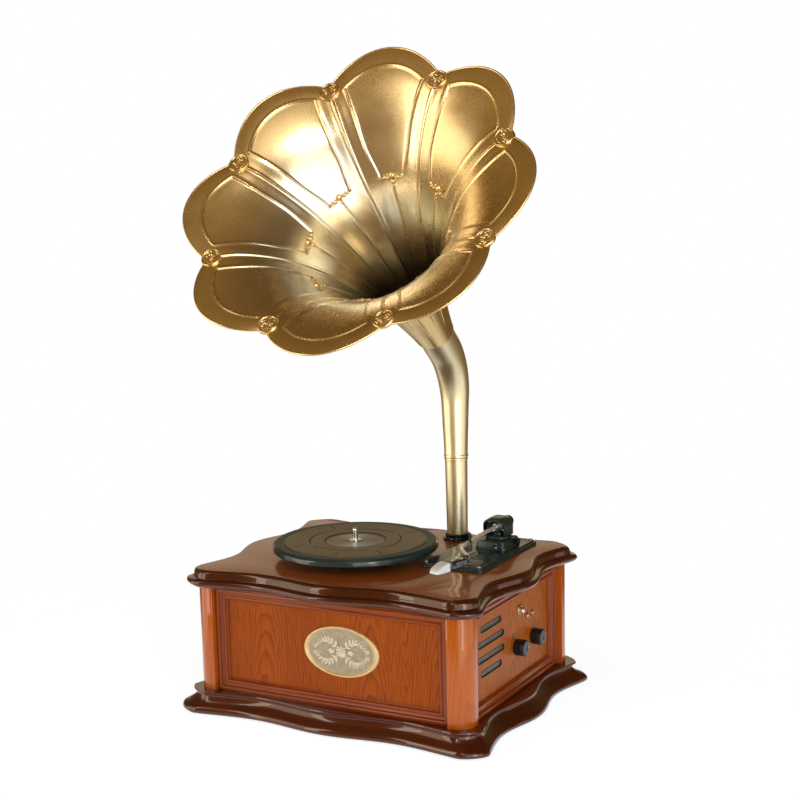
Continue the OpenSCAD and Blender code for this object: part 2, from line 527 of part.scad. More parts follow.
base_plinth();
felt_base();
post_front_left();
post_front_right();
post_rear_left();
post_rear_right();
front_panel();
rear_panel();
left_panel();
right_panel();
front_frame();
rear_frame();
left_frame();
right_frame();
rear_screws();
top_board();
front_emblem();
speaker_frames();
speaker_cones();
grille_cloths();
amplifier_board();
power_transformer();
power_inlet();
output_jacks();
volume_knob();
volume_pot();
tuning_knob();
tuning_pot();
power_button();
button_bezel();
side_jacks();
platter();
platter_mat();
spindle();
platter_bearing();
drive_belt();
motor();
motor_pulley();
tonearm_plate();
plate_screws();
pivot_housing();
speed_knob();
tonearm_yoke();
gimbal_block();
arm_tube();
counterweight();
headshell();
cartridge();
stylus_guard();
arm_rest();
rest_latch();
cue_lever();
tube_flange();
flange_screws();
horn_pipe();
swivel_sleeve();
horn_elbow();
horn_bell();
horn_driver();
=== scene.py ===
"""Looks of the table-top horn gramophone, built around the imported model."""
import json
import math

import bmesh
import bpy
import numpy as np
from mathutils import Matrix, Vector


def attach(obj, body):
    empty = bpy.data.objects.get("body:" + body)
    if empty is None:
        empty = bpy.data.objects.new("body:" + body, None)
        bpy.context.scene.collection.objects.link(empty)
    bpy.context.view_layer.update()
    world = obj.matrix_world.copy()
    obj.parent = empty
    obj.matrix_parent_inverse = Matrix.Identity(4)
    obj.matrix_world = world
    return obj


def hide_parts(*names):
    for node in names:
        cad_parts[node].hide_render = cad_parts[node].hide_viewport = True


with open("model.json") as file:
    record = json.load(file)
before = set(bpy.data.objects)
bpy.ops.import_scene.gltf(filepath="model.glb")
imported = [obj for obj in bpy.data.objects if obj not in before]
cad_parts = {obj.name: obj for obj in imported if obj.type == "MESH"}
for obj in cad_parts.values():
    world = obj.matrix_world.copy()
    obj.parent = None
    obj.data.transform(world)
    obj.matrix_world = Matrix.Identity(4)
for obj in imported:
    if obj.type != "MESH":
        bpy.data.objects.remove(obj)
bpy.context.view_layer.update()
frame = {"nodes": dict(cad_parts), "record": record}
NODES = frame["nodes"]
pi, sin, cos, tan, radians = math.pi, math.sin, math.cos, math.tan, math.radians

# ---- camera ----------------------------------------------------------------


def camera():
    az, el, ro, d, f, tx, tz = 29.97364, 10.06973, -1.70967, 2.1750487, 1630.5674, -0.0393184, 0.3506006
    a, e, r = radians(az), radians(el), radians(ro)
    back = Vector((sin(a)*cos(e), -cos(a)*cos(e), sin(e)))
    right = Vector((cos(a), sin(a), 0))
    up = (-back).cross(right)*-1
    x = right*cos(r) + up*sin(r)
    y = -right*sin(r) + up*cos(r)
    cam = bpy.data.objects.new("camera", bpy.data.cameras.new("camera"))
    bpy.context.scene.collection.objects.link(cam)
    cam.matrix_world = Matrix.Translation(Vector((tx, 0, tz)) + back*d) @ Matrix((x, y, back)).transposed().to_4x4()
    cam.data.sensor_width = 36
    cam.data.lens = f/800*36
    cam.data.shift_x = (400-355.0971)/800
    cam.data.shift_y = (438.7960-400)/800
    cam.data.clip_start, cam.data.clip_end = 0.05, 60
    bpy.context.scene.camera = cam


camera()

# ---- mesh tools, in millimetres ----------------------------------------------


class Geo:
    """Vertices and faces of one piece, with a material number for each face."""

    def __init__(self):
        self.v, self.f, self.m, self.n = [], [], [], 0

    def add(self, part, mat=0, T=None):
        v, f = part
        v = np.asarray(v, float).reshape(-1, 3)
        if T is not None:
            v = v @ T[:3, :3].T + T[:3, 3]
        self.v.append(v)
        k = self.n
        self.f += [tuple(i+k for i in q) for q in f]
        self.m += [mat]*len(f)
        self.n += len(v)
        return self


def build(name, geo, mats, body, nodes=(), sharp=38, keep=False):
    me = bpy.data.meshes.new(name)
    me.from_pydata((np.concatenate(geo.v)*0.001).tolist(), [], geo.f)
    me.polygons.foreach_set("material_index", geo.m)
    bm = bmesh.new()
    bm.from_mesh(me)
    bmesh.ops.remove_doubles(bm, verts=bm.verts, dist=2e-6)
    if not keep:
        bmesh.ops.recalc_face_normals(bm, faces=bm.faces)
    lim = radians(sharp)
    for e in bm.edges:
        e.smooth = len(e.link_faces) == 2 and e.calc_face_angle(0) < lim
    for f in bm.faces:
        f.smooth = True
    bm.to_mesh(me)
    bm.free()
    o = bpy.data.objects.new(name, me)
    bpy.context.scene.collection.objects.link(o)
    for m in mats if isinstance(mats, (list, tuple)) else [mats]:
        me.materials.append(m)
    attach(o, body)
    if nodes:
        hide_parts(*nodes)
    return o


def move(x=0, y=0, z=0):
    m = np.eye(4)
    m[:3, 3] = (x, y, z)
    return m


def turn(axis, deg):
    return np.array(Matrix.Rotation(radians(deg), 4, axis))


def fillet(pts, rad=0.6, n=4, closed=True):
    """Rounds the corners of a 2-D outline. A point may give its own radius as a third number."""
    P = [tuple(p) for p in pts]
    out = []
    m = len(P)
    for i, p in enumerate(P):
        r = p[2] if len(p) > 2 else rad
        if r <= 0 or (not closed and i in (0, m-1)):
            out.append(p[:2])
            continue
        a, b, c = np.array(P[i-1][:2], float), np.array(p[:2], float), np.array(P[(i+1) % m][:2], float)
        la, lc = np.linalg.norm(a-b), np.linalg.norm(c-b)
        u, w = (a-b)/la, (c-b)/lc
        ang = math.acos(max(-1, min(1, float(u@w))))
        if ang > pi-0.02:
            out.append(p[:2])
            continue
        d = min(r/tan(ang/2), la*0.49, lc*0.49)
        s, e = b+u*d, b+w*d
        for k in range(n+1):
            t = k/n
            q = s*(1-t)**2 + b*2*t*(1-t) + e*t*t
            out.append((q[0], q[1]))
    return out


def revolve(profile, seg=64, hollow=False, flute=None):
    """Turned shape round +Z. flute(row, angle) adds to a radius."""
    v, rows = [], []
    for j, (r, h) in enumerate(profile):
        if r < 1e-6:
            rows.append([len(v)])
            v.append((0, 0, h))
        else:
            rows.append(list(range(len(v), len(v)+seg)))
            for k in range(seg):
                a = 2*pi*k/seg
                q = r+(flute(j, a) if flute else 0)
                v.append((q*cos(a), q*sin(a), h))
    f = []
    n = len(rows)
    for j in range(n if hollow else n-1):
        a, b = rows[j], rows[(j+1) % n]
        for k in range(seg):
            k2 = (k+1) % seg
            if len(a) == 1 and len(b) == 1:
                break
            if len(a) == 1:
                f.append((a[0], b[k2], b[k]))
            elif len(b) == 1:
                f.append((a[k], a[k2], b[0]))
            else:
                f.append((a[k], a[k2], b[k2], b[k]))
    return v, f


def grid_faces(rows, cols, wrap_c=True, wrap_r=False):
    f = []
    for j in range(rows if wrap_r else rows-1):
        a, b = j*cols, ((j+1) % rows)*cols
        for k in range(cols if wrap_c else cols-1):
            k2 = (k+1) % cols
            f.append((a+k, a+k2, b+k2, b+k))
    return f


def rings(R, cap0=True, cap1=True, wrap_r=False):
    """Skin through a stack of closed rings."""
    R = np.asarray(R, float)
    m, n = R.shape[:2]
    f = grid_faces(m, n, True, wrap_r)
    if cap0 and not wrap_r:
        f.append(tuple(range(n-1, -1, -1)))
    if cap1 and not wrap_r:
        f.append(tuple(range((m-1)*n, m*n)))
    return R.reshape(-1, 3), f


def inset(P, d):
    """Moves a counter-clockwise outline inwards by d."""
    P = np.asarray(P, float)
    e = np.roll(P, -1, 0)-P
    e /= np.linalg.norm(e, axis=1)[:, None]+1e-12
    nrm = np.stack([-e[:, 1], e[:, 0]], 1)
    b = nrm+np.roll(nrm, 1, 0)
    b /= np.maximum((b*nrm).sum(1), 0.25)[:, None]
    return P+b*d


def slab(P, z0, z1, b=0.5, b0=None, n=3):
    """Extruded outline with rounded top edge b and bottom edge b0."""
    b0 = b if b0 is None else b0
    st = []
    if b0 > 0:
        st += [(b0*(1-sin(pi/2*k/n)), z0+b0*(1-cos(pi/2*k/n))) for k in range(n+1)]
    else:
        st.append((0, z0))
    if b > 0:
        st += [(b*(1-cos(pi/2*k/n)), z1-b*(1-sin(pi/2*k/n))) for k in range(n+1)]
    else:
        st.append((0, z1))
    R = [np.column_stack([inset(P, d), np.full(len(P), z)]) for d, z in st]
    return rings(R)


def rrect(x0, y0, x1, y1, r, n=5):
    out = []
    for cx, cy, s in ((x1-r, y1-r, 0), (x0+r, y1-r, 90), (x0+r, y0+r, 180), (x1-r, y0+r, 270)):
        out += [(cx+r*cos(radians(s+90*k/n)), cy+r*sin(radians(s+90*k/n))) for k in range(n+1)]
    return out


def tube(P, r, seg=24, up=(0, 0, 1), cap=True, inner=None, oval=1.0):
    """Round bar or, with inner radii, a pipe along a path."""
    P = np.asarray(P, float)
    n = len(P)
    r = np.full(n, r) if np.isscalar(r) else np.asarray(r, float)
    T = np.gradient(P, axis=0)
    T /= np.linalg.norm(T, axis=1)[:, None]
    s = np.cross(np.array(up, float), T[0])
    if np.linalg.norm(s) < 1e-6:
        s = np.cross(np.array((1.0, 0, 0)), T[0])
    s /= np.linalg.norm(s)
    S = []
    for t in T:
        s = s-t*(s@t)
        s /= np.linalg.norm(s)
        S.append(s)
    S = np.array(S)
    U = np.cross(T, S)
    a = np.linspace(0, 2*pi, seg, endpoint=False)

    def ring(i, q):
        return P[i]+q*(np.cos(a)[:, None]*S[i]+oval*np.sin(a)[:, None]*U[i])
    R = [ring(i, r[i]) for i in range(n)]
    if inner is None:
        return rings(R, cap, cap)
    R += [ring(i, inner[i]) for i in range(n-1, -1, -1)]
    return rings(R, wrap_r=True)


def smooth(e0, e1, x):
    t = np.clip((x-e0)/(e1-e0), 0, 1)
    return t*t*(3-2*t)


# ---- materials -----------------------------------------------------------------
MAT = {}


class Nodes:
    """Short names for building a node material."""

    def __init__(self, name):
        self.mat = bpy.data.materials.new(name)
        self.mat.use_nodes = True
        self.t = self.mat.node_tree
        self.p = self.t.nodes["Principled BSDF"]
        MAT[name] = self.mat
        self._pos = None

    def put(self, sock, v):
        if isinstance(v, bpy.types.NodeSocket):
            self.t.links.new(v, sock)
        elif isinstance(v, (tuple, list)) and len(v) == 3 and sock.type == "RGBA":
            sock.default_value = (*v, 1)
        else:
            sock.default_value = v

    def pos(self):
        if self._pos is None:
            self._pos = self.t.nodes.new("ShaderNodeTexCoord").outputs["Object"]
        return self._pos

    def xyz(self, v=None):
        s = self.t.nodes.new("ShaderNodeSeparateXYZ")
        self.put(s.inputs[0], self.pos() if v is None else v)
        return s.outputs

    def vec(self, x, y, z):
        s = self.t.nodes.new("ShaderNodeCombineXYZ")
        for i, q in enumerate((x, y, z)):
            self.put(s.inputs[i], q)
        return s.outputs[0]

    def m(self, op, *a, clamp=False):
        n = self.t.nodes.new("ShaderNodeMath")
        n.operation = op
        n.use_clamp = clamp
        for i, q in enumerate(a):
            self.put(n.inputs[i], q)
        return n.outputs[0]

    def scale(self, v, s):
        n = self.t.nodes.new("ShaderNodeVectorMath")
        n.operation = "MULTIPLY"
        self.put(n.inputs[0], v)
        n.inputs[1].default_value = s
        return n.outputs[0]

    def noise(self, v, scale, detail=3.0, rough=0.5, distort=0.0, color=False):
        n = self.t.nodes.new("ShaderNodeTexNoise")
        self.put(n.inputs["Vector"], v)
        n.inputs["Scale"].default_value = scale
        n.inputs["Detail"].default_value = detail
        n.inputs["Roughness"].default_value = rough
        n.inputs["Distortion"].default_value = distort
        return n.outputs["Color" if color else "Fac"]

    def voronoi(self, v, scale, feature="F1", out="Distance", rnd=1.0):
        n = self.t.nodes.new("ShaderNodeTexVoronoi")
        n.feature = feature
        self.put(n.inputs["Vector"], v)
        n.inputs["Scale"].default_value = scale
        n.inputs["Randomness"].default_value = rnd
        return n.outputs[out]

    def ramp(self, fac, stops, mode="LINEAR"):
        n = self.t.nodes.new("ShaderNodeValToRGB")
        n.color_ramp.interpolation = mode
        el = n.color_ramp.elements
        while len(el) < len(stops):
            el.new(0.5)
        for e, (p, c) in zip(el, stops):
            e.position = p
            e.color = (*c, 1) if isinstance(c, (tuple, list)) else (c, c, c, 1)
        self.put(n.inputs[0], fac)
        return n.outputs[0]

    def mix(self, fac, a, b, mode="MIX"):
        n = self.t.nodes.new("ShaderNodeMix")
        n.data_type = "RGBA"
        n.blend_type = mode
        self.put(n.inputs[0], fac)
        self.put(n.inputs[6], a)
        self.put(n.inputs[7], b)
        return n.outputs[2]

    def bump(self, h, dist, strength=1.0, normal=None):
        n = self.t.nodes.new("ShaderNodeBump")
        n.inputs["Strength"].default_value = strength
        n.inputs["Distance"].default_value = dist
        self.put(n.inputs["Height"], h)
        if normal is not None:
            self.put(n.inputs["Normal"], normal)
        return n.outputs[0]

    def set(self, **k):
        names = {"base": "Base Color", "metal": "Metallic", "rough": "Roughness", "ior": "IOR", "coat": "Coat Weight",
                 "coat_rough": "Coat Roughness", "normal": "Normal", "spec": "Specular IOR Level", "sheen": "Sheen Weight",
                 "sheen_rough": "Sheen Roughness", "spec_tint": "Specular Tint", "coat_ior": "Coat IOR", "aniso": "Anisotropic"}
        for q, v in k.items():
            self.put(self.p.inputs[names[q]], v)
        return self.mat


def wood(name, dark, mid, light, along="Z", across="X", x0=(0.0,), slope=0.3, ring=150.0, contrast=0.5, coat=0.5, rough=0.38,
         coat_rough=0.1, pores=0.4, bumpy=0.00010, shift=0.0, spec=0.3):
    """Lacquered wood: growth rings that open into arches, fine pores along the grain, slow colour change."""
    k = Nodes(name)
    o = dict(zip("XYZ", k.xyz()))
    L, A = o[along], o[across]
    other = [q for q in "XYZ" if q not in (along, across)][0]
    O = o[other]
    st = k.vec(k.m("MULTIPLY", A, 1.0), k.m("MULTIPLY", O, 1.0), k.m("MULTIPLY", L, 0.14))
    warp = k.m("MULTIPLY", k.m("SUBTRACT", k.noise(st, 11.0, 3, 0.55), 0.5), 0.055)
    fine = k.m("MULTIPLY", k.m("SUBTRACT", k.noise(st, 60.0, 3, 0.6), 0.5), 0.006)
    best = None
    for c in x0:
        d = k.m("SUBTRACT", k.m("ADD", A, warp), c)
        r = k.m("SQRT", k.m("ADD", k.m("MULTIPLY", d, d), 0.0006))
        best = r if best is None else k.m("SMOOTH_MIN", best, r, 0.03)
    R = k.m("ADD", k.m("ADD", best, k.m("MULTIPLY", k.m("ADD", L, shift), slope*0.35)), fine)
    R = k.m("ADD", R, k.m("MULTIPLY", O, 0.25))
    saw = k.m("FRACT", k.m("MULTIPLY", R, ring))
    late = k.m("POWER", saw, 3.0)
    streak = k.noise(k.vec(k.m("MULTIPLY", A, 1.0), k.m("MULTIPLY", O, 1.0), k.m("MULTIPLY", L, 0.035)), 420.0, 3, 0.6)
    pore = k.ramp(k.noise(k.vec(A, O, k.m("MULTIPLY", L, 0.05)), 900.0, 2, 0.5), [(0.0, 0.0), (0.52, 0.0), (0.64, 1.0)])
    slow = k.noise(st, 7.0, 2, 0.5)
    base = k.mix(k.ramp(slow, [(0.3, 0.0), (0.7, 1.0)]), mid, light)
    base = k.mix(k.m("MULTIPLY", late, contrast), base, dark)
    base = k.mix(k.m("MULTIPLY", k.ramp(streak, [(0.35, 0.0), (0.75, 1.0)]), contrast*0.45), base, dark)
    amount = k.m("MULTIPLY", pore, k.m("ADD", 0.35, k.m("MULTIPLY", late, 0.65)))
    base = k.mix(k.m("MULTIPLY", amount, pores), base, tuple(x*0.35 for x in dark))
    h = k.m("ADD", k.m("MULTIPLY", amount, -1.0), k.m("MULTIPLY", late, 0.25))
    k.set(base=base, rough=k.m("ADD", rough, k.m("MULTIPLY", streak, 0.12)), coat=coat, coat_rough=coat_rough, spec=spec,
          spec_tint=(1.0, 0.55, 0.28), normal=k.bump(h, bumpy, 0.5))
    return k.mat


def brass(name, tones, inside=False, even=0.27):
    """Old brass with uneven polish. Inside the horn the colour turns silvery over most of the wall, more on the left
    and less near the rim, as a painted cool reflection, and turns dark deep in the throat as painted shade.
    """
    k = Nodes(name)
    P = k.pos()
    big = k.noise(P, 5.0, 3, 0.5)
    mid = k.noise(P, 26.0, 4, 0.6)
    fine = k.noise(P, 700.0, 2, 0.5)
    spots = k.ramp(k.noise(P, 150.0, 3, 0.6), [(0.0, 0.0), (0.6, 0.0), (0.74, 1.0)])
    c = k.mix(k.ramp(big, [(0.3, 0.0), (0.72, 1.0)]), tones[0], tones[1])
    c = k.mix(k.m("MULTIPLY", k.ramp(mid, [(0.35, 0.0), (0.8, 1.0)]), 0.3), c, tones[2])
    c = k.mix(k.m("MULTIPLY", spots, 0.10), c, (0.30, 0.19, 0.08))
    rough = k.m("ADD", even, k.m("ADD", k.m("MULTIPLY", k.m("SUBTRACT", mid, 0.5), 0.10), k.m("MULTIPLY", k.m("SUBTRACT", fine, 0.5), 0.08)))
    if inside:
        x, y, z = k.xyz()
        along = k.m("ADD", k.m("ADD", k.m("MULTIPLY", k.m("SUBTRACT", x, 0.0485), 0.0370), k.m("MULTIPLY", k.m("SUBTRACT", y, 0.1245), -0.7674)),
                    k.m("MULTIPLY", k.m("SUBTRACT", z, 0.436), 0.6401))
        along = k.m("MULTIPLY", k.m("ADD", along, k.m("MULTIPLY", k.m("SUBTRACT", mid, 0.5), 0.03)), 2.5)
        # painted cool reflection: a silvery tone along most of the inner wall, fading near the rim, with slightly lower
        # roughness
        silvery_reflection = k.ramp(along, [(0.40, 1.0), (0.64, 0.95), (0.80, 0.72), (0.93, 0.05)], "EASE")
        # the painted silvery reflection is strongest on the left side and weak on the right
        side = k.m("ADD", k.m("MULTIPLY", k.m("SUBTRACT", x, 0.0485), 3.0), 0.5)
        silvery_reflection = k.m("MULTIPLY", silvery_reflection, k.ramp(side, [(0.15, 1.0), (0.40, 0.85), (0.58, 0.35), (0.72, 0.15)], "EASE"))
        # painted shade: the colour turns dark deep in the throat, where little light reaches
        dark = k.ramp(along, [(0.24, 1.0), (0.42, 0.60), (0.60, 0.0)], "EASE")
        c = k.mix(k.m("MULTIPLY", silvery_reflection, 0.88), c, (0.54, 0.60, 0.60))
        c = k.mix(k.m("MULTIPLY", dark, 0.90), c, (0.10, 0.070, 0.040))
        rough = k.m("SUBTRACT", rough, k.m("MULTIPLY", silvery_reflection, 0.05))
    n = k.bump(k.noise(P, 12.0, 2, 0.5), 0.0016, 0.25)
    n = k.bump(fine, 0.00002, 0.15, n)
    k.set(base=c, metal=1.0, rough=rough, normal=n, coat=0.15, coat_rough=0.18)


def plain(name, base, rough=0.4, metal=0.0, coat=0.0, coat_rough=0.05, grain=700.0, depth=0.00002, tint=0.25, worn=None, spec=0.5):
    """Moulded or painted finish: slow tint change, fine grain in the bump and roughness."""
    k = Nodes(name)
    P = k.pos()
    slow = k.noise(P, 18.0, 3, 0.55)
    fine = k.noise(P, grain, 2, 0.5)
    c = k.mix(k.ramp(slow, [(0.3, 0.0), (0.7, 1.0)]), tuple(x*(1-tint) for x in base), tuple(min(1, x*(1+tint)) for x in base))
    if worn:
        c = k.mix(k.m("MULTIPLY", k.ramp(k.noise(P, 90.0, 5, 0.65), [(0.0, 0.0), (0.58, 0.0), (0.75, 1.0)]), 0.35), c, worn)
    r = k.m("ADD", rough, k.m("ADD", k.m("MULTIPLY", k.m("SUBTRACT", slow, 0.5), 0.16), k.m("MULTIPLY", k.m("SUBTRACT", fine, 0.5), 0.12)))
    k.set(base=c, rough=r, metal=metal, coat=coat, coat_rough=coat_rough, spec=spec, normal=k.bump(fine, depth, 0.4))
    return k.mat


def brushed(name, base, rough=0.3, axis="Z", metal=1.0, centre=None):
    """Turned or brushed metal: fine lines along an axis, or round a centre."""
    k = Nodes(name)
    x, y, z = k.xyz()
    if centre:
        dx, dy = k.m("SUBTRACT", x, centre[0]), k.m("SUBTRACT", y, centre[1])
        r = k.m("SQRT", k.m("ADD", k.m("MULTIPLY", dx, dx), k.m("MULTIPLY", dy, dy)))
        v = k.vec(k.m("MULTIPLY", r, 1500.0), k.m("MULTIPLY", z, 1500.0), 0.0)
        line = k.noise(v, 1.0, 3, 0.6)
    else:
        s = {"X": (0.03, 1, 1), "Y": (1, 0.03, 1), "Z": (1, 1, 0.03)}[axis]
        line = k.noise(k.scale(k.pos(), s), 1500.0, 3, 0.6)
    slow = k.noise(k.pos(), 25.0, 3, 0.5)
    c = k.mix(line, tuple(q*0.82 for q in base), base)
    k.set(base=c, metal=metal, rough=k.m("ADD", rough, k.m("ADD", k.m("MULTIPLY", line, 0.12), k.m("MULTIPLY", k.m("SUBTRACT", slow, 0.5), 0.1))),
          normal=k.bump(line, 0.00001, 0.35))
    return k.mat


def mat_rubber():
    """Ribbed turntable mat: fine concentric ribs, dust, a dark ring with four gaps and four short radial marks."""
    k = Nodes("mat_rubber")
    x, y, z = k.xyz()
    dx, dy = k.m("SUBTRACT", x, PLAT[0]*0.001), k.m("SUBTRACT", y, PLAT[1]*0.001)
    r = k.m("SQRT", k.m("ADD", k.m("MULTIPLY", dx, dx), k.m("MULTIPLY", dy, dy)))
    u = k.m("ABSOLUTE", k.m("SUBTRACT", k.m("MULTIPLY", dx, 0.788), k.m("MULTIPLY", dy, 0.616)))
    v = k.m("ABSOLUTE", k.m("ADD", k.m("MULTIPLY", dx, 0.616), k.m("MULTIPLY", dy, 0.788)))
    off = k.m("MINIMUM", u, v)
    ring = k.m("MULTIPLY", k.m("LESS_THAN", k.m("ABSOLUTE", k.m("SUBTRACT", r, 0.061)), 0.0009), k.m("GREATER_THAN", off, 0.0068))
    mark = k.m("MULTIPLY", k.m("LESS_THAN", off, 0.0008), k.m("MULTIPLY", k.m("GREATER_THAN", r, 0.0698), k.m("LESS_THAN", r, 0.0912)))
    edge = k.m("LESS_THAN", k.m("ABSOLUTE", k.m("SUBTRACT", r, 0.0405)), 0.0009)
    deep = k.m("MAXIMUM", k.m("MAXIMUM", ring, mark), edge)
    rib = k.m("SINE", k.m("MULTIPLY", r, 2*pi/0.0012))
    dust = k.noise(k.pos(), 60.0, 4, 0.6)
    c = k.mix(k.ramp(dust, [(0.3, 0.0), (0.8, 1.0)]), MAT_A, MAT_B)
    c = k.mix(k.m("MULTIPLY", k.m("ADD", rib, 1.0), 0.16), c, tuple(q*0.4 for q in MAT_A))
    c = k.mix(k.m("MULTIPLY", deep, 0.85), c, (0.012, 0.011, 0.008))
    k.set(base=c, rough=k.m("ADD", 0.38, k.m("ADD", k.m("MULTIPLY", dust, 0.2), k.m("MULTIPLY", deep, 0.3))), spec=0.5, normal=k.bump(rib, 0.00012, 0.5))


def platter_paint():
    """Dark enamel, glossy round the rim and duller on the flat ring outside the mat."""
    k = Nodes("platter_black")
    x, y, z = k.xyz()
    fine = k.noise(k.pos(), 700.0, 2, 0.5)
    slow = k.noise(k.pos(), 18.0, 3, 0.55)
    top = k.ramp(k.m("MULTIPLY", k.m("SUBTRACT", z, 0.2140), 1/0.0040, clamp=True), [(0.2, 0.0), (0.8, 1.0)])
    base = k.mix(slow, (0.008, 0.030, 0.036), (0.014, 0.044, 0.052))
    k.set(base=base, rough=k.m("ADD", k.m("ADD", 0.15, k.m("MULTIPLY", top, 0.30)), k.m("MULTIPLY", fine, 0.08)),
          coat=k.m("SUBTRACT", 0.6, k.m("MULTIPLY", top, 0.55)), coat_rough=0.04, spec=k.m("SUBTRACT", 0.5, k.m("MULTIPLY", top, 0.25)),
          normal=k.bump(fine, 0.00001, 0.4))


def dish():
    """Spun metal dish: rings of fine lines that catch the light in sectors."""
    k = Nodes("dish_metal")
    x, y, z = k.xyz()
    dx, dy = k.m("SUBTRACT", x, PLAT[0]*0.001), k.m("SUBTRACT", y, PLAT[1]*0.001)
    r = k.m("SQRT", k.m("ADD", k.m("MULTIPLY", dx, dx), k.m("MULTIPLY", dy, dy)))
    line = k.noise(k.vec(k.m("MULTIPLY", r, 1500.0), 0.0, 0.0), 1.0, 3, 0.6)
    k.set(base=k.mix(line, (0.075, 0.08, 0.068), (0.20, 0.21, 0.18)), metal=1.0, rough=k.m("ADD", 0.24, k.m("MULTIPLY", line, 0.12)), aniso=0.75,
          normal=k.bump(line, 0.00001, 0.35))
    n = k.t.nodes.new("ShaderNodeTangent")
    n.direction_type, n.axis = "RADIAL", "Z"
    k.t.links.new(n.outputs[0], k.p.inputs["Tangent"])


def cloth(name, a, b, pitch=0.0011):
    """Woven speaker cloth in the YZ plane."""
    k = Nodes(name)
    x, y, z = k.xyz()
    w1 = k.m("SINE", k.m("MULTIPLY", y, 2*pi/pitch))
    w2 = k.m("SINE", k.m("MULTIPLY", z, 2*pi/pitch))
    wv = k.m("MULTIPLY", w1, w2)
    c = k.mix(k.ramp(wv, [(0.3, 0.0), (0.7, 1.0)]), a, b)
    c = k.mix(k.m("MULTIPLY", k.noise(k.pos(), 220.0, 3, 0.6), 0.4), c, a)
    k.set(base=c, rough=0.85, sheen=0.3, normal=k.bump(wv, 0.0003, 0.8))


def slot_mesh():
    """Punched metal sheet: small round holes in staggered rows."""
    k = Nodes("slot_mesh")
    x, y, z = k.xyz()
    q = 0.0016
    a = k.m("MULTIPLY", y, 2*pi/q)
    b = k.m("MULTIPLY", z, 2*pi/q)
    hole = k.ramp(k.m("MULTIPLY", k.m("ADD", k.m("MULTIPLY", k.m("COSINE", a), k.m("COSINE", b)), 1.0), 0.5), [(0.48, 0.0), (0.66, 1.0)])
    spot = k.noise(k.pos(), 260.0, 4, 0.65)
    c = k.mix(k.ramp(spot, [(0.35, 0.0), (0.7, 1.0)]), (0.09, 0.08, 0.045), (0.30, 0.27, 0.18))
    c = k.mix(hole, c, (0.012, 0.010, 0.006))
    k.set(base=c, metal=k.m("MULTIPLY", k.m("SUBTRACT", 1.0, hole), 0.8), rough=k.m("ADD", 0.30, k.m("MULTIPLY", spot, 0.25)),
          normal=k.bump(hole, 0.0002, -0.6))


def emblem():
    """Aged cream and gold relief, darker in its hollows."""
    k = Nodes("emblem")
    P = k.pos()
    x, y, z = k.xyz()
    depth = k.m("MULTIPLY", k.m("SUBTRACT", -0.1460, y), 1/0.0040, clamp=True)
    spot = k.noise(P, 130.0, 5, 0.65)
    fine = k.noise(P, 900.0, 2, 0.5)
    c = k.mix(k.ramp(depth, [(0.32, 0.0), (0.62, 1.0)]), (0.38, 0.29, 0.17), (0.90, 0.83, 0.66))
    c = k.mix(k.m("MULTIPLY", k.ramp(spot, [(0.42, 0.0), (0.62, 1.0)]), 0.5), c, (0.50, 0.47, 0.40))
    dx = k.m("MULTIPLY", k.m("SUBTRACT", x, 0.016), 1/0.0555)
    dz = k.m("MULTIPLY", k.m("SUBTRACT", z, 0.1045), 1/0.034)
    q = k.m("SQRT", k.m("ADD", k.m("MULTIPLY", dx, dx), k.m("MULTIPLY", dz, dz)))
    rim = k.ramp(q, [(0.84, 0.0), (0.89, 1.0)])
    c = k.mix(k.m("MULTIPLY", rim, 0.9), c, k.mix(spot, (0.62, 0.40, 0.14), (0.85, 0.66, 0.36)))
    k.set(base=c, metal=k.m("ADD", 0.15, k.m("MULTIPLY", rim, 0.50)), rough=k.m("ADD", 0.30, k.m("MULTIPLY", spot, 0.25)), spec=0.5,
          normal=k.bump(fine, 0.00004, 0.5))


BRASS = ((0.78, 0.58, 0.27), (0.70, 0.48, 0.18), (0.85, 0.69, 0.40))
BRASS_PALE = ((0.82, 0.73, 0.47), (0.75, 0.65, 0.40), (0.88, 0.82, 0.60))
MAT_A, MAT_B = (0.15, 0.125, 0.066), (0.25, 0.215, 0.125)
PLAT = (-32.5, -19.0)


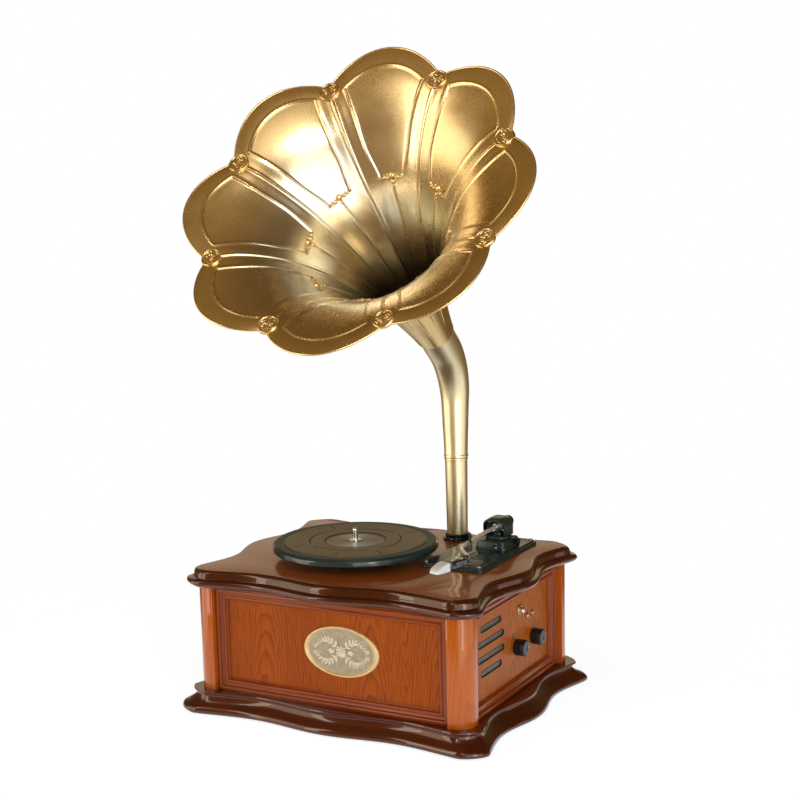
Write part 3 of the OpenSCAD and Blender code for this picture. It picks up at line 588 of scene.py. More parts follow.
def materials():
    brass("brass", BRASS)
    brass("brass_inside", BRASS, True)
    brass("brass_pale", BRASS_PALE, even=0.36)
    wood("oak_panel", (0.17, 0.026, 0.003), (0.38, 0.072, 0.006), (0.46, 0.100, 0.010), "Z", "X", (0.055, -0.10, 0.16), 0.30, 330.0, 0.62, 0.05, 0.36, 0.10, 0.65, spec=0.2)
    # side panels: a lighter, more ochre copy of the front panel oak, painted light on the sides
    wood("oak_side_lit", (0.19, 0.034, 0.004), (0.43, 0.105, 0.009), (0.52, 0.145, 0.014), "Z", "Y", (0.0, 0.09), 0.30, 330.0, 0.60, 0.06, 0.36, 0.10, 0.65, spec=0.2)
    wood("post_wood", (0.24, 0.034, 0.002), (0.47, 0.090, 0.004), (0.54, 0.120, 0.007), "Z", "X", (0.30,), 0.25, 150.0, 0.28, 0.75, 0.24, 0.05, 0.15, spec=0.30)
    for n, a, c in (("frame_wood", "Z", "X"), ("frame_rail", "X", "Z"), ("frame_rail_side", "Y", "Z")):
        wood(n, (0.11, 0.014, 0.002), (0.25, 0.040, 0.005), (0.32, 0.058, 0.008), a, c, (0.30,), 0.2, 160.0, 0.3, 0.5, 0.24, 0.03, 0.15, spec=0.3)
    wood("mahogany", (0.018, 0.0020, 0.0009), (0.055, 0.0066, 0.0017), (0.088, 0.0118, 0.0030), "X", "Y", (0.40,), 0.1, 90.0, 0.35, 0.75, 0.20, 0.025, 0.1, spec=0.35)
    wood("deck_wood", (0.16, 0.036, 0.006), (0.30, 0.078, 0.013), (0.36, 0.102, 0.018), "X", "Y", (0.35,), 0.15, 90.0, 0.32, 0.5, 0.28, 0.06, 0.25, spec=0.3)
    plain("black_gloss", (0.005, 0.010, 0.011), 0.14, coat=0.15, coat_rough=0.03, spec=0.28, depth=0.00001)
    platter_paint()
    plain("black_satin", (0.012, 0.020, 0.020), 0.28, grain=1200.0, depth=0.00002)
    plain("deck_metal", (0.018, 0.040, 0.036), 0.26, coat=0.15, coat_rough=0.08, grain=1000.0, depth=0.00002, worn=(0.05, 0.072, 0.062), spec=0.35)
    plain("shell_blue", (0.012, 0.022, 0.055), 0.15, coat=0.7, coat_rough=0.05, depth=0.00001)
    plain("guard_white", (0.86, 0.91, 1.0), 0.25, coat=0.3, depth=0.00001, tint=0.04)
    plain("rubber_black", (0.02, 0.02, 0.02), 0.6, depth=0.00004)
    plain("felt", (0.03, 0.03, 0.03), 0.95, grain=500.0, depth=0.0003)
    plain("cone_paper", (0.05, 0.045, 0.04), 0.8, grain=400.0, depth=0.0002)
    plain("board_green", (0.03, 0.16, 0.06), 0.35, coat=0.3, grain=300.0, depth=0.00005)
    plain("core_iron", (0.22, 0.18, 0.10), 0.45, metal=0.4, grain=500.0, depth=0.0001)
    plain("button_silver", (0.80, 0.78, 0.74), 0.14, metal=1.0, depth=0.00001, tint=0.06)
    plain("socket_red", (0.45, 0.03, 0.02), 0.35, coat=0.3, depth=0.00002)
    plain("rest_metal", (0.10, 0.11, 0.10), 0.20, metal=0.6, coat=0.3, depth=0.00001, worn=(0.45, 0.42, 0.34))
    plain("jack_brass", (0.46, 0.30, 0.16), 0.30, metal=0.9, depth=0.00002, worn=(0.7, 0.6, 0.45))
    brushed("bright_steel", (0.86, 0.86, 0.85), 0.10, "Z")
    brushed("plain_steel", (0.42, 0.43, 0.44), 0.28, "X")
    plain("arm_metal", (0.70, 0.69, 0.60), 0.24, metal=0.35, coat=0.3, coat_rough=0.06, depth=0.00001, tint=0.08)
    brushed("bearing_brass", (0.72, 0.52, 0.22), 0.25, "Z")
    dish()
    mat_rubber()
    slot_mesh()
    cloth("cloth", (0.055, 0.050, 0.030), (0.17, 0.15, 0.10))
    emblem()


materials()


def finish_nodes():
    """Gives each CAD node that still shows its own finish."""
    alias = {"brass_horn": "brass", "emblem_metal": "emblem"}
    slot_of = {s["node"]: s.get("material_slot") for s in frame["record"]["subparts"]}
    # the side panels take the lighter oak copy, painted light
    special = {"left_panel": "oak_side_lit", "right_panel": "oak_side_lit"}
    for n, o in NODES.items():
        if o.hide_render:
            continue
        s = slot_of.get(n)
        m = MAT[special.get(n, alias.get(s, s))]
        o.data.materials.clear()
        o.data.materials.append(m)


# ---- horn --------------------------------------------------------------------
PIPE_X, PIPE_Y, JOINT_Z = 48.5, 124.5, 310.0
EL, CROSS_Z, HORN_LEN, LOBE0 = radians(39.8), 436.0, 371.0, radians(27.13)
HORN_T = move(PIPE_X, PIPE_Y) @ turn("Z", -90+2.76)


def flare(t):
    return 8+155*np.exp(-t/132)+30*np.exp(-t/15)


def horn_local(t, r, a):
    """Point at depth t behind the notch circle, radius r and direction a, before HORN_T."""
    x, y, v = HORN_LEN-t, r*np.cos(a), r*np.sin(a)
    return np.stack([x*cos(EL)-v*sin(EL), y, CROSS_Z+x*sin(EL)+v*cos(EL)], -1)


LIP = 34.0
D_RIM = [0, 0.5, 1.2, 2.2, 4, 7, 11, 15.5, 19.5, 21.6, 22.7, 23.4, 24, 24.6, 25.3, 26.4, 29]
F_LIP = [0.1, 0.2, 0.3, 0.4, 0.5, 0.6, 0.7, 0.8, 0.9, 1.0]
T_DEEP = [37, 40, 44, 48, 52, 56, 60, 64, 68, 71, 73.2, 74.6, 75.6, 76.4, 77, 77.6, 78.4, 79.4, 80.8, 83, 86,
          90, 94, 99, 104, 110, 116, 122, 129, 136, 143, 151, 159, 168, 177, 187, 197, 208, 219, 231, 243, 255,
          266, 274, 279, 282, 284, 286, 288]
OFFS = [0, 0.45, 0.9, 1.4, 2.1, 3.2, 5.5, 9, 13, 16.5, 18.4, 19.3, 20, 20.7, 21.6, 23.5]
CTR = [0, 0.6, 1.2, 1.9, 2.8, 4.5, 7]
PANEL_T = 77.0


def lip_curve(g):
    """Depth and radius from the lip's start (0) to the rim (1), 241 steps, for a petal height g from 0 to 1."""
    u = np.linspace(0, 1, 241)
    p0, d0 = np.array([LIP, float(flare(LIP))]), np.array([-50-10*g, 56+11*g])
    p1 = np.array([1.8-12.3*g, 196+31*g])
    d1 = np.array([6-18*g, 73+22*g])
    h = np.stack([2*u**3-3*u**2+1, u**3-2*u**2+u, -2*u**3+3*u**2, u**3-u**2], 1)
    c = h @ np.stack([p0, d0, p1, d1])
    s = np.concatenate([[0], np.cumsum(np.linalg.norm(np.diff(c, axis=0), axis=1))])
    return c, s[-1]-s


def narrow(t):
    """How far the panel's side lines draw in towards its lower end."""
    return 5.5*smooth(42, PANEL_T, t)*(1-smooth(92, 130, t))


def petal_columns(half, extra=0.0):
    """Distances from the seam at a half petal of this arc length, up to its middle."""
    k = min(1.0, math.sqrt(half/60), half/34)
    o = [(x+extra*smooth(5, 18, x))*k for x in OFFS]
    q = [half-x*k for x in reversed(CTR)]
    mid = [o[-1]+(q[0]-o[-1])*i/7 for i in range(1, 7)]
    return np.array(o+mid+q), k


def bell_surface():
    """Rows from rim to throat. Each row: depth, radius, direction, distance from the seam, from the petal's middle, from the rim."""
    rows = []
    for row in range(len(D_RIM)+len(F_LIP)+len(T_DEEP)):
        if row < len(D_RIM)+len(F_LIP):
            t_, r_, tau_, e_, c_, d_ = [], [], [], [], [], []
            half_row = 0.3927*(200 if row < 9 else 190-4.5*(row-9)*0.75)
            cols, k = petal_columns(max(half_row, 0.3927*132))
            tau_h = cols/(2*half_row if half_row > 0.3927*132 else 2*0.3927*132)
            for tau in tau_h:
                g = abs(sin(pi*tau))**0.92
                c, s = lip_curve(g)
                d = D_RIM[row] if row < len(D_RIM) else D_RIM[-1]+F_LIP[row-len(D_RIM)]*(s[0]-D_RIM[-1])
                t = np.interp(d, s[::-1], c[::-1, 0])
                r = np.interp(d, s[::-1], c[::-1, 1])
                t_.append(t); r_.append(r); tau_.append(tau); d_.append(d)
                arc = 2*0.3927*r
                e_.append(tau*arc); c_.append((0.5-tau)*arc)
            rows.append((np.array(t_), np.array(r_), np.array(tau_), np.array(e_), np.array(c_), np.array(d_), k))
        else:
            t = T_DEEP[row-len(D_RIM)-len(F_LIP)]
            r = max(float(flare(t)), 24.6)
            half = 0.3927*r
            cols, k = petal_columns(half, narrow(t))
            n = len(cols)
            rows.append((np.full(n, t), np.full(n, r), cols/(2*half), cols, half-cols,
                         np.full(n, 60+(t-LIP)), k))
    return rows


def bell_shell():
    rows = bell_surface()
    F = []
    H = []
    for t, r, tau, e, c, d, k in rows:
        # panel line, seam, ridge below the panel, and a light cupping of each petal
        border = (20.0+narrow(t))*k
        down = (PANEL_T-t)*1.35
        sdf = np.minimum(np.minimum(e-border, d-24), np.where(t > LIP, down, 50))
        line = 1.05*np.exp(-(sdf/(1.15*max(k, 0.6)))**2)
        line = line*(1-smooth(PANEL_T-8, PANEL_T-5, t)*(1-smooth(11.0, 13.5, c)))-0.55*smooth(-0.6, 2.2, sdf)
        if t[0] > PANEL_T+16:
            line = line*0
        w = max(k, 0.42)
        seam = 1.3*w*np.exp(-(e/(1.15*w))**2)-0.5*np.exp(-((e-3.0*w)/(2.0*w))**2)
        seam = seam*(1-smooth(225, 270, t))
        low = smooth(PANEL_T+5, PANEL_T+14, t)*(1-smooth(200, 245, t))
        ridge = 1.35*w*np.exp(-(c/(1.3*w))**2)*low
        cup = 1.6*(np.sin(pi*tau)**2-0.5)*smooth(250, 70, t)*smooth(-14, 10, t)
        h = line+seam+ridge
        h = h*smooth(0.2, 1.6, d)
        n = len(t)
        full = []
        for p in range(8):
            a = LOBE0+2*pi/8*(p+tau)
            b = LOBE0+2*pi/8*(p+1-tau)
            full.append((t, r-cup, a, h))
            full.append((t[::-1], (r-cup)[::-1], b[::-1], h[::-1]))
        T = np.concatenate([q[0][:-1] for q in full])
        R = np.concatenate([q[1][:-1] for q in full])
        A = np.concatenate([q[2][:-1] for q in full])
        hh = np.concatenate([q[3][:-1] for q in full])
        F.append(horn_local(T, R, A))
        H.append(hh)
    F, H = np.array(F), np.array(H)
    # normals of the plain flare point to the open side
    du = np.roll(F, -1, 1)-np.roll(F, 1, 1)
    dv = np.gradient(F, axis=0)
    nrm = np.cross(du, dv)
    nrm /= np.linalg.norm(nrm, axis=2)[:, :, None]
    axis = np.array([cos(EL), 0, sin(EL)])
    if (nrm[10] @ axis).mean() < 0:
        nrm = -nrm
    return F+nrm*H[:, :, None], F+nrm*(H*0.85-1.0)[:, :, None], nrm


def curl(P0, turns, r0, r1, w0, w1, seg=8, n=30, flip=1, start=0.0):
    """Flat spiral ridge in a plane: returns centre line and radii for a tube."""
    a = np.linspace(0, turns*2*pi, n)
    r = r0+(r1-r0)*a/a[-1]
    P = np.stack([P0[0]+flip*r*np.cos(a+start), P0[1]+r*np.sin(a+start), np.full(n, P0[2])], 1)
    return P, np.linspace(w0, w1, n)


def medallion():
    """Round boss with two scrolls, in its own plane: x across, y towards the rim, z out."""
    g = Geo()
    prof = fillet([(0, 2.3), (7, 2.1), (10.9, 1.2), (11.2, 2.0), (12.4, 2.0), (13.1, 0.6), (13.1, -2.0)], 0.4, 3, closed=False)
    g.add(revolve(prof, 48))
    for s in (-1, 1):
        P, w = curl((5.0*s, 0.6, 1.9), 1.45, 0.7, 4.9, 0.75, 0.9, n=34, flip=s, start=-0.6)
        P[:, 2] = 2.15-0.0085*((P[:, 0])**2+(P[:, 1])**2)
        g.add(tube(P, w, 7))
        g.add(revolve(fillet([(0, 3.1), (1.1, 2.7), (1.4, 1.2)], 0.3, 2, closed=False), 12), T=move(5.0*s, 0.6))
        P = np.array([[0.9*s, -9.5, 1.3], [2.6*s, -8.2, 1.5], [5.0*s, -7.3, 1.6], [7.6*s, -6.0, 1.5]])
        g.add(tube(P, [0.3, 0.7, 0.7, 0.2], 7))
    for k in range(3):
        P = np.array([[0, -9.8+k*1.2, 1.4], [0, -6+k*3.2, 2.2], [0, -3+k*4.2, 2.3]])
        if k == 1:
            g.add(tube(P+[0, 0.5, 0], [0.3, 0.85, 0.4], 7))
    return g


def boss():
    """Small leaf boss where a petal's panel ends: x across, y towards the rim, z out."""
    g = Geo()
    for x, y, a, b, h in ((0, 1.2, 3.0, 3.6, 2.6), (-5.2, -0.4, 2.6, 2.2, 1.9), (5.2, -0.4, 2.6, 2.2, 1.9),
                          (-9.3, -0.6, 2.0, 1.5, 1.3), (9.3, -0.6, 2.0, 1.5, 1.3), (0, -4.4, 1.9, 2.4, 1.9), (0, -8.4, 1.3, 2.0, 1.4)):
        prof = [(sin(q), cos(q)) for q in np.linspace(0, 1.95, 8)]
        v, f = revolve(prof, 16)
        v = np.array(v)*(a, b, h)+(x, y, 0.1)
        g.add((v, f))
    for s in (-1, 1):
        P, w = curl((5.2*s, 2.4, 0.8), 0.9, 0.8, 2.7, 0.5, 0.7, n=18, flip=s, start=1.0)
        g.add(tube(P, w, 7))
    return g


def horn():
    brass = MAT["brass"]
    F, B, nrm = bell_shell()
    rows, cols = F.shape[:2]
    g = Geo()
    g.add(rings(np.concatenate([F, B[::-1]]), wrap_r=True), T=HORN_T)
    g.m = [1 if i < (rows-1)*cols else 0 for i in range(len(g.f))]
    build("horn_bell_sheet", g, [brass, MAT["brass_inside"]], "horn", ["horn_bell"], sharp=75)
    # rolled rim
    rim = (F[0]+B[0])/2
    out = (F[0]-F[4])
    out /= np.linalg.norm(out, axis=1)[:, None]
    n0 = nrm[0]
    R = []
    for k in range(12):
        q = 2*pi*k/12
        R.append(rim-out*0.6+1.25*(np.cos(q)*out+np.sin(q)*n0))
    g = Geo()
    g.add(rings(np.array(R), wrap_r=True), T=HORN_T)
    build("horn_rolled_rim", g, brass, "horn", (), sharp=80)
    # medallions at the notches and a boss under each panel
    med, bos = Geo(), Geo()
    m0, b0 = medallion(), boss()
    mv = np.concatenate(m0.v)
    bv = np.concatenate(b0.v)
    half = cols//8
    axis = np.array([cos(EL), 0, sin(EL)])
    for p in range(8):
        c = p*half
        j = 5
        y = F[j-4, c]-F[j+4, c]
        y /= np.linalg.norm(y)
        x = F[j, (c+6) % cols]-F[j, (c-6) % cols]
        x /= np.linalg.norm(x)
        z = np.cross(x, y)
        if z@axis < 0:
            x = -x
            z = np.cross(x, y)
        o = F[j, c]-z*0.9
        M = np.eye(4)
        M[:3, 0], M[:3, 1], M[:3, 2], M[:3, 3] = x, y, z, o
        # follow the shallow valley between two petals
        v = mv.copy()
        v[:, 2] += 0.010*v[:, 0]**2
        med.add((v, m0.f), T=HORN_T @ M)
        c = p*half+half//2
        j = len(D_RIM)+len(F_LIP)+15
        y = F[j-5, c]-F[j+5, c]
        y /= np.linalg.norm(y)
        x = F[j, (c+4) % cols]-F[j, (c-4) % cols]
        x /= np.linalg.norm(x)
        z = np.cross(x, y)
        if z@axis < 0:
            x = -x
            z = np.cross(x, y)
        r = 0.5*np.linalg.norm(F[j, c]-F[j, (c+cols//2) % cols])
        M = np.eye(4)
        M[:3, 0], M[:3, 1], M[:3, 2], M[:3, 3] = x, y, z, F[j, c]-z*0.5
        v = bv*(1.35, 1.35, 1.25)
        v[:, 2] += v[:, 0]**2/(2*r)
        bos.add((v, b0.f), T=HORN_T @ M)
    build("horn_notch_medallions", med, brass, "horn", (), sharp=50)
    build("horn_panel_bosses", bos, brass, "horn", (), sharp=60)


def neck():
    brass = MAT["brass_pale"]
    # pipe standing in the cabinet
    prof = fillet([(12, 171, 0), (14.5, 171, 0), (14.5, 209, 0), (15.5, 306.5, 0.3), (16.1, 307.2), (16.1, 309.4), (15.6, 310, 0.2),
                   (13.4, 310, 0), (13.4, 335.2, 0.4), (12.9, 336, 0.3), (12, 336, 0)], 0.5, 3)
    # closed profile
    g = Geo()
    g.add(revolve(prof, 72, hollow=True), T=move(PIPE_X, PIPE_Y))
    build("horn_pipe_tube", g, brass, "cabinet", ["horn_pipe"], sharp=35)
    prof = fillet([(13.45, 310.3, 0), (15.9, 310.3, 0.2), (16.7, 310.9), (16.7, 313.6), (16.0, 314.4, 0.8), (17.0, 344.0, 0.3), (17.0, 345.3, 0),
                   (14.6, 345.3, 0), (14.6, 336.8, 0), (13.45, 336.6, 0)], 0.6, 3)
    g = Geo()
    g.add(revolve(prof, 72, hollow=True), T=move(PIPE_X, PIPE_Y))
    build("horn_swivel_sleeve", g, brass, "horn", ["swivel_sleeve"], sharp=35)
    # elbow, smooth, widening from 17.05 to 24.2 mm
    turn_a = pi/2-EL
    bend_r = 100.0
    tan_l = bend_r*tan(turn_a/2)
    arc_z = CROSS_Z-tan_l
    P, r = [], []
    for z in np.linspace(345.3, arc_z, 9)[:-1]:
        P.append((0, 0, z)); r.append(17.05+(18.9-17.05)*(z-345.3)/(arc_z-345.3))
    for a in np.linspace(0, turn_a, 34):
        P.append((bend_r*(1-cos(a)), 0, arc_z+bend_r*sin(a))); r.append(18.9+5.1*(a/turn_a)**0.8)
    for l in np.linspace(0, 60, 9)[1:]:
        q = tan_l+l
        P.append((q*cos(EL), 0, CROSS_Z+q*sin(EL))); r.append(24.0+0.2*min(1, l/20))
    r = np.array(r)
    k = np.ones(9)/9
    rs = np.convolve(np.pad(r, 4, mode="edge"), k, "valid")
    rs[0], rs[-1] = r[0], r[-1]
    g = Geo()
    g.add(tube(P, rs, 64, up=(0, 1, 0), inner=rs-1.6), T=HORN_T)
    # raised bead round the elbow just before the bell
    c = np.array([cos(EL), 0, sin(EL)])
    build("horn_elbow_tube", g, brass, "horn", ["horn_elbow"], sharp=45)
    g = Geo()
    M = np.eye(4)
    M[:3, 2] = c
    M[:3, 0] = (0, 1, 0)
    M[:3, 1] = np.cross(c, (0, 1, 0))
    M[:3, 3] = np.array([0, 0, CROSS_Z])+c*(HORN_LEN-288.3)
    prof = fillet([(24.3, 0, 0.1), (25.6, -0.4), (26.7, 0.6), (26.7, 3.4), (26.0, 4.6), (25.4, 4.6, 0)], 0.7, 3)
    g.add(revolve(prof, 72, hollow=True), T=HORN_T @ M)
    build("horn_joint_bead", g, brass, "horn", (), sharp=50)


# ---- cabinet -----------------------------------------------------------------------
HW, HD, DS = 200.0, 161.0, 322/400


def outline(o, e, bow, val, n=72):
    E = e+o
    xv = 0.46*E
    out = []
    for k in range(4):
        for i in range(n):
            s = -E+2*E*i/n
            a = abs(s)
            if a < xv:
                q = (bow+val)/2+o+(bow-val)/2*cos(pi*a/xv)
            else:
                q = (E+val+o)/2-(E-val-o)/2*cos(pi*(a-xv)/(E-xv))
            p = ((s, -q), (q, s), (-s, q), (-q, -s))[k]
            ax, ay, c = abs(p[0]), abs(p[1]), E-48
            if ax > c and ay > c:
                d = math.hypot(ax-c, ay-c)
                if d > 48:
                    p = (math.copysign(c+(ax-c)*48/d, p[0]), math.copysign(c+(ay-c)*48/d, p[1]))
            out.append((p[0], p[1]*DS))
    return np.array(out)


def chaikin(P, n=2):
    P = np.asarray(P, float)
    for _ in range(n):
        Q = [P[0]]
        for a, b in zip(P[:-1], P[1:]):
            Q += [a*0.75+b*0.25, a*0.25+b*0.75]
        Q.append(P[-1])
        P = np.array(Q)
    return P


def boolean(o, geo, op="DIFFERENCE"):
    me = bpy.data.meshes.new("cutter")
    me.from_pydata((np.concatenate(geo.v)*0.001).tolist(), [], geo.f)
    bm = bmesh.new()
    bm.from_mesh(me)
    bmesh.ops.recalc_face_normals(bm, faces=bm.faces)
    bm.to_mesh(me)
    bm.free()
    c = bpy.data.objects.new("cutter", me)
    bpy.context.scene.collection.objects.link(c)
    m = o.modifiers.new("cut", "BOOLEAN")
    m.operation, m.object, m.solver = op, c, "EXACT"
    dg = bpy.context.evaluated_depsgraph_get()
    new = bpy.data.meshes.new_from_object(o.evaluated_get(dg))
    o.modifiers.clear()
    old = o.data
    o.data = new
    new.name = old.name
    bpy.data.meshes.remove(old)
    bpy.data.objects.remove(c)
    bpy.data.meshes.remove(me)
    return o


def resharp(o, deg=38):
    bm = bmesh.new()
    bm.from_mesh(o.data)
    for e in bm.edges:
        e.smooth = len(e.link_faces) == 2 and e.calc_face_angle(0) < radians(deg)
    for f in bm.faces:
        f.smooth = True
    bm.to_mesh(o.data)
    bm.free()


def rbox(x0, y0, z0, x1, y1, z1, r=1.0, b=0.6):
    return slab(rrect(x0, y0, x1, y1, r, 4), z0, z1, b)


def serpentine():
    prof = chaikin([(-4, 2), (3.6, 2.2), (6.4, 4.4), (6.6, 7.2), (5.2, 10.4), (1.6, 13.2), (-3.2, 15.8), (-7.4, 19.2), (-9.9, 23.4),
                    (-10.2, 26.0), (-8.6, 27.2), (-6.6, 28.0), (-5.9, 29.5), (-6.6, 31)])
    g = Geo()
    g.add(rings([np.column_stack([outline(o, 222.6, 219.6, 206.2), np.full(288, z)]) for o, z in prof]))
    build("base_moulding", g, MAT["mahogany"], "cabinet", ["base_plinth"], sharp=50)
    prof = chaikin([(3, 171), (8, 172.0), (12.2, 173.8), (14.4, 176.8), (14.5, 179.6), (13.0, 181.6), (9.8, 182.7), (7.4, 183.3),
                    (6.8, 184.6), (6.7, 187.6), (6.0, 190.6), (4.2, 192.9), (1.6, 194.2), (0, 194.5)])
    R = [np.column_stack([outline(o, 204, 204, 186.4), np.full(288, z)]) for o, z in prof]
    g = Geo()
    v, f = rings(R, True, True)
    g.add((v, f))
    g.m[-1] = 1
    o = build("cabinet_top", g, [MAT["mahogany"], MAT["deck_wood"]], "cabinet", ["top_board"], sharp=50)
    c = Geo()
    mot = (PLAT[0]-75*cos(pi/4), PLAT[1]+75*sin(pi/4))
    for x, y, r in ((PIPE_X, PIPE_Y, 14.7), (*PLAT, 11), (*mot, 9)):
        c.add(revolve([(0, 160), (r, 160), (r, 210), (0, 210)], 48), T=move(x, y))
    boolean(o, c)
    resharp(o, 50)
    g = Geo()
    g.add(slab(outline(-7, 222.6, 219.6, 206.2, 30), 0, 2.1, 0.3))
    o = build("felt_sheet", g, MAT["felt"], "cabinet", ["felt_base"])


def carcase():
    x0, y0, r = HW-29, HD-29, 22.0
    P = [(x0, y0, 0.4), (HW, y0, 0.9)]
    P += [(HW-r+r*cos(radians(a)), HD-r+r*sin(radians(a)), 0) for a in np.linspace(0, 90, 25)]
    P += [(x0, HD, 0.9)]
    base = np.array(fillet(P, 0.8, 3))
    for n, sx, sy in (("front_left", -1, -1), ("front_right", 1, -1), ("rear_left", -1, 1), ("rear_right", 1, 1)):
        Q = base*(sx, sy)
        if sx*sy < 0:
            Q = Q[::-1]
        g = Geo()
        g.add(slab(Q, 31.05, 170.95, 0.35))
        build("post_"+n+"_turned", g, MAT["post_wood"], "cabinet", ["post_"+n], sharp=32)
    # mitred frame mouldings
    prof = [(0, 0), (0, 7.3)]+[tuple(p) for p in chaikin([(0.5, 7.6), (1.7, 7.7), (2.2, 8.7), (3.9, 9.0), (5.5, 8.5), (6.1, 7.0), (6.3, 5.2),
                                                        (7.6, 4.4), (9.4, 4.2), (10.6, 4.4), (11.0, 5.5), (12.4, 6.0), (13.8, 5.4), (14.5, 3.9),
                                                        (14.9, 2.3), (16, 1.5)])]+[(16, 0)]
    for n, w, d, a, rail in (("front", HW-29, HD, 0, "frame_rail"), ("rear", HW-29, HD, 180, "frame_rail"),
                             ("right", HD-29, HW, 90, "frame_rail_side"), ("left", HD-29, HW, -90, "frame_rail_side")):
        R = []
        for cx, cz in ((-1, 0), (1, 0), (1, 1), (-1, 1)):
            R.append([(cx*(w-0.05-q), -d+15-h, (31.05+q) if cz == 0 else (170.95-q)) for q, h in prof])
        v, f = rings(np.array(R), wrap_r=True)
        g = Geo()
        g.add((v, f), T=turn("Z", a))
        m = len(prof)
        g.m = [[1, 0, 1, 0][i//m] for i in range(len(f))]
        build(n+"_frame_moulding", g, [MAT["frame_wood"], MAT[rail]], "cabinet", [n+"_frame"], sharp=30)


def plaque():
    """Oval relief: beaded rope border, centre rosette and leaf sprays."""
    a, b = 55.0, 33.6
    rho = np.concatenate([np.linspace(0, 0.86, 70), np.linspace(0.87, 1.0, 22)])
    th = np.linspace(0, 2*pi, 360, endpoint=False)
    X, Z = np.outer(rho*a, np.cos(th)), np.outer(rho*b, np.sin(th))
    Rr = np.repeat(rho[:, None], len(th), 1)
    
    def leaf(cx, cz, ang, ln, wd, h):
        c, s = cos(ang), sin(ang)
        u, w = (X-cx)*c+(Z-cz)*s, -(X-cx)*s+(Z-cz)*c
        u2 = u/ln
        wid = wd*np.clip(np.sin(pi*np.clip(u2, 0, 1))**0.7, 1e-3, None)*(1-0.35*np.clip(u2, 0, 1))
        q = np.clip(1-(w/wid)**2, 0, None)*((u2 > 0) & (u2 < 1))
        rib = 0.35*np.exp(-(w/0.35)**2)
        vein = 0.22*np.sin(w*2.2/np.maximum(wid, 0.5)*3+u*1.3)
        return h*np.sqrt(q)*(1-rib*0.7+vein*q)
    rel = np.zeros_like(X)
    # two curling stems with leaves on both sides
    for sx in (-1, 1):
        for sz in (-1, 1):
            t = np.linspace(0, 1, 60)
            sx_ = sx*(5+33*t)
            sz_ = sz*(3.5+13*np.sin(pi*t*0.95)*(1-0.35*t))
            for i in range(len(t)-1):
                d2 = (X-sx_[i])**2+(Z-sz_[i])**2
                rel = np.maximum(rel, (1.15-0.35*t[i])*np.exp(-d2/0.75))
            for j, q in enumerate(np.linspace(0.1, 0.98, 8)):
                i = int(q*58)
                ang = math.atan2(sz_[i+1]-sz_[i], sx_[i+1]-sx_[i])
                for side in (-1, 1):
                    ln = (9.0-4.2*q)*(1.0 if side*sz*sx > 0 else 0.8)
                    rel = np.maximum(rel, leaf(sx_[i], sz_[i], ang+side*(0.85-0.2*q), ln, 2.3-0.8*q, 1.5-0.35*q))
            # curled end
            for q in np.linspace(0, 2.2*pi, 40):
                rr = 3.4*(1-q/(2.6*pi))
                cx, cz = sx*(38.5+rr*cos(q+2.6)), sz*(4.6+rr*sin(q+2.6))
                rel = np.maximum(rel, 1.2*np.exp(-((X-cx)**2+(Z-cz)**2)/0.6))
    for k in range(10):
        rel = np.maximum(rel, leaf(0, 0, 2*pi*k/10+0.3, 9.2, 2.2, 1.9))
    for k in range(8):
        rel = np.maximum(rel, leaf(0, 0, 2*pi*k/8, 5.6, 1.7, 2.4))
    rel = np.maximum(rel, 2.6*np.sqrt(np.clip(1-(X**2+Z**2)/4.4, 0, None)))
    for sx in (-1, 1):
        for j in range(3):
            rel = np.maximum(rel, leaf(sx*9, 0, (0 if sx > 0 else pi)+(j-1)*0.33, 13-abs(j-1)*3, 2.1, 1.7))
    grit = 0.10*np.sin(X*3.1+np.sin(Z*2.3)*1.2)*np.sin(Z*3.7+np.sin(X*1.9))
    H = 1.05+rel+grit*(rel < 0.3)
    # border: inner bead, rope, outer edge
    bead = 0.9*np.exp(-((Rr-0.885)/0.013)**2)
    rope = (1.9+0.35*np.sin(72*np.arctan2(Z/b, X/a)+Rr*60))*np.clip(1-((Rr-0.948)/0.044)**2, 0, None)**0.5
    H = np.where(Rr > 0.86, np.maximum(1.0+bead, 1.0+rope), H)
    H = H*(1-0.999*smooth(0.985, 1.0, Rr))+0.02
    n = len(th)
    V = np.stack([16+X, -146-np.clip(H, 0, 3.75), 104.5+Z], -1)
    back = np.stack([16+X[-1], np.full(n, -145.95), 104.5+Z[-1]], -1)
    R = np.concatenate([V[1:], back[None]])
    v = np.concatenate([V[0, :1], R.reshape(-1, 3)])
    f = [tuple(i+1 for i in q) for q in grid_faces(len(R), n)]
    f += [(0, 1+k, 1+(k+1) % n) for k in range(n)]
    f.append(tuple(1+(len(R)-1)*n+k for k in range(n-1, -1, -1)))
    g = Geo()
    g.add((v, f))
    build("plaque_relief", g, MAT["emblem"], "cabinet", ["front_emblem"], sharp=60)


def stadium(l, r, n=10):
    out = [(l/2+r*cos(t), r*sin(t)) for t in np.linspace(-pi/2, pi/2, n)]
    out += [(-l/2+r*cos(t), r*sin(t)) for t in np.linspace(pi/2, 3*pi/2, n)]
    return np.array(out)


SLOTS = ((138, 60), (118.5, 76), (99, 76), (80, 60))


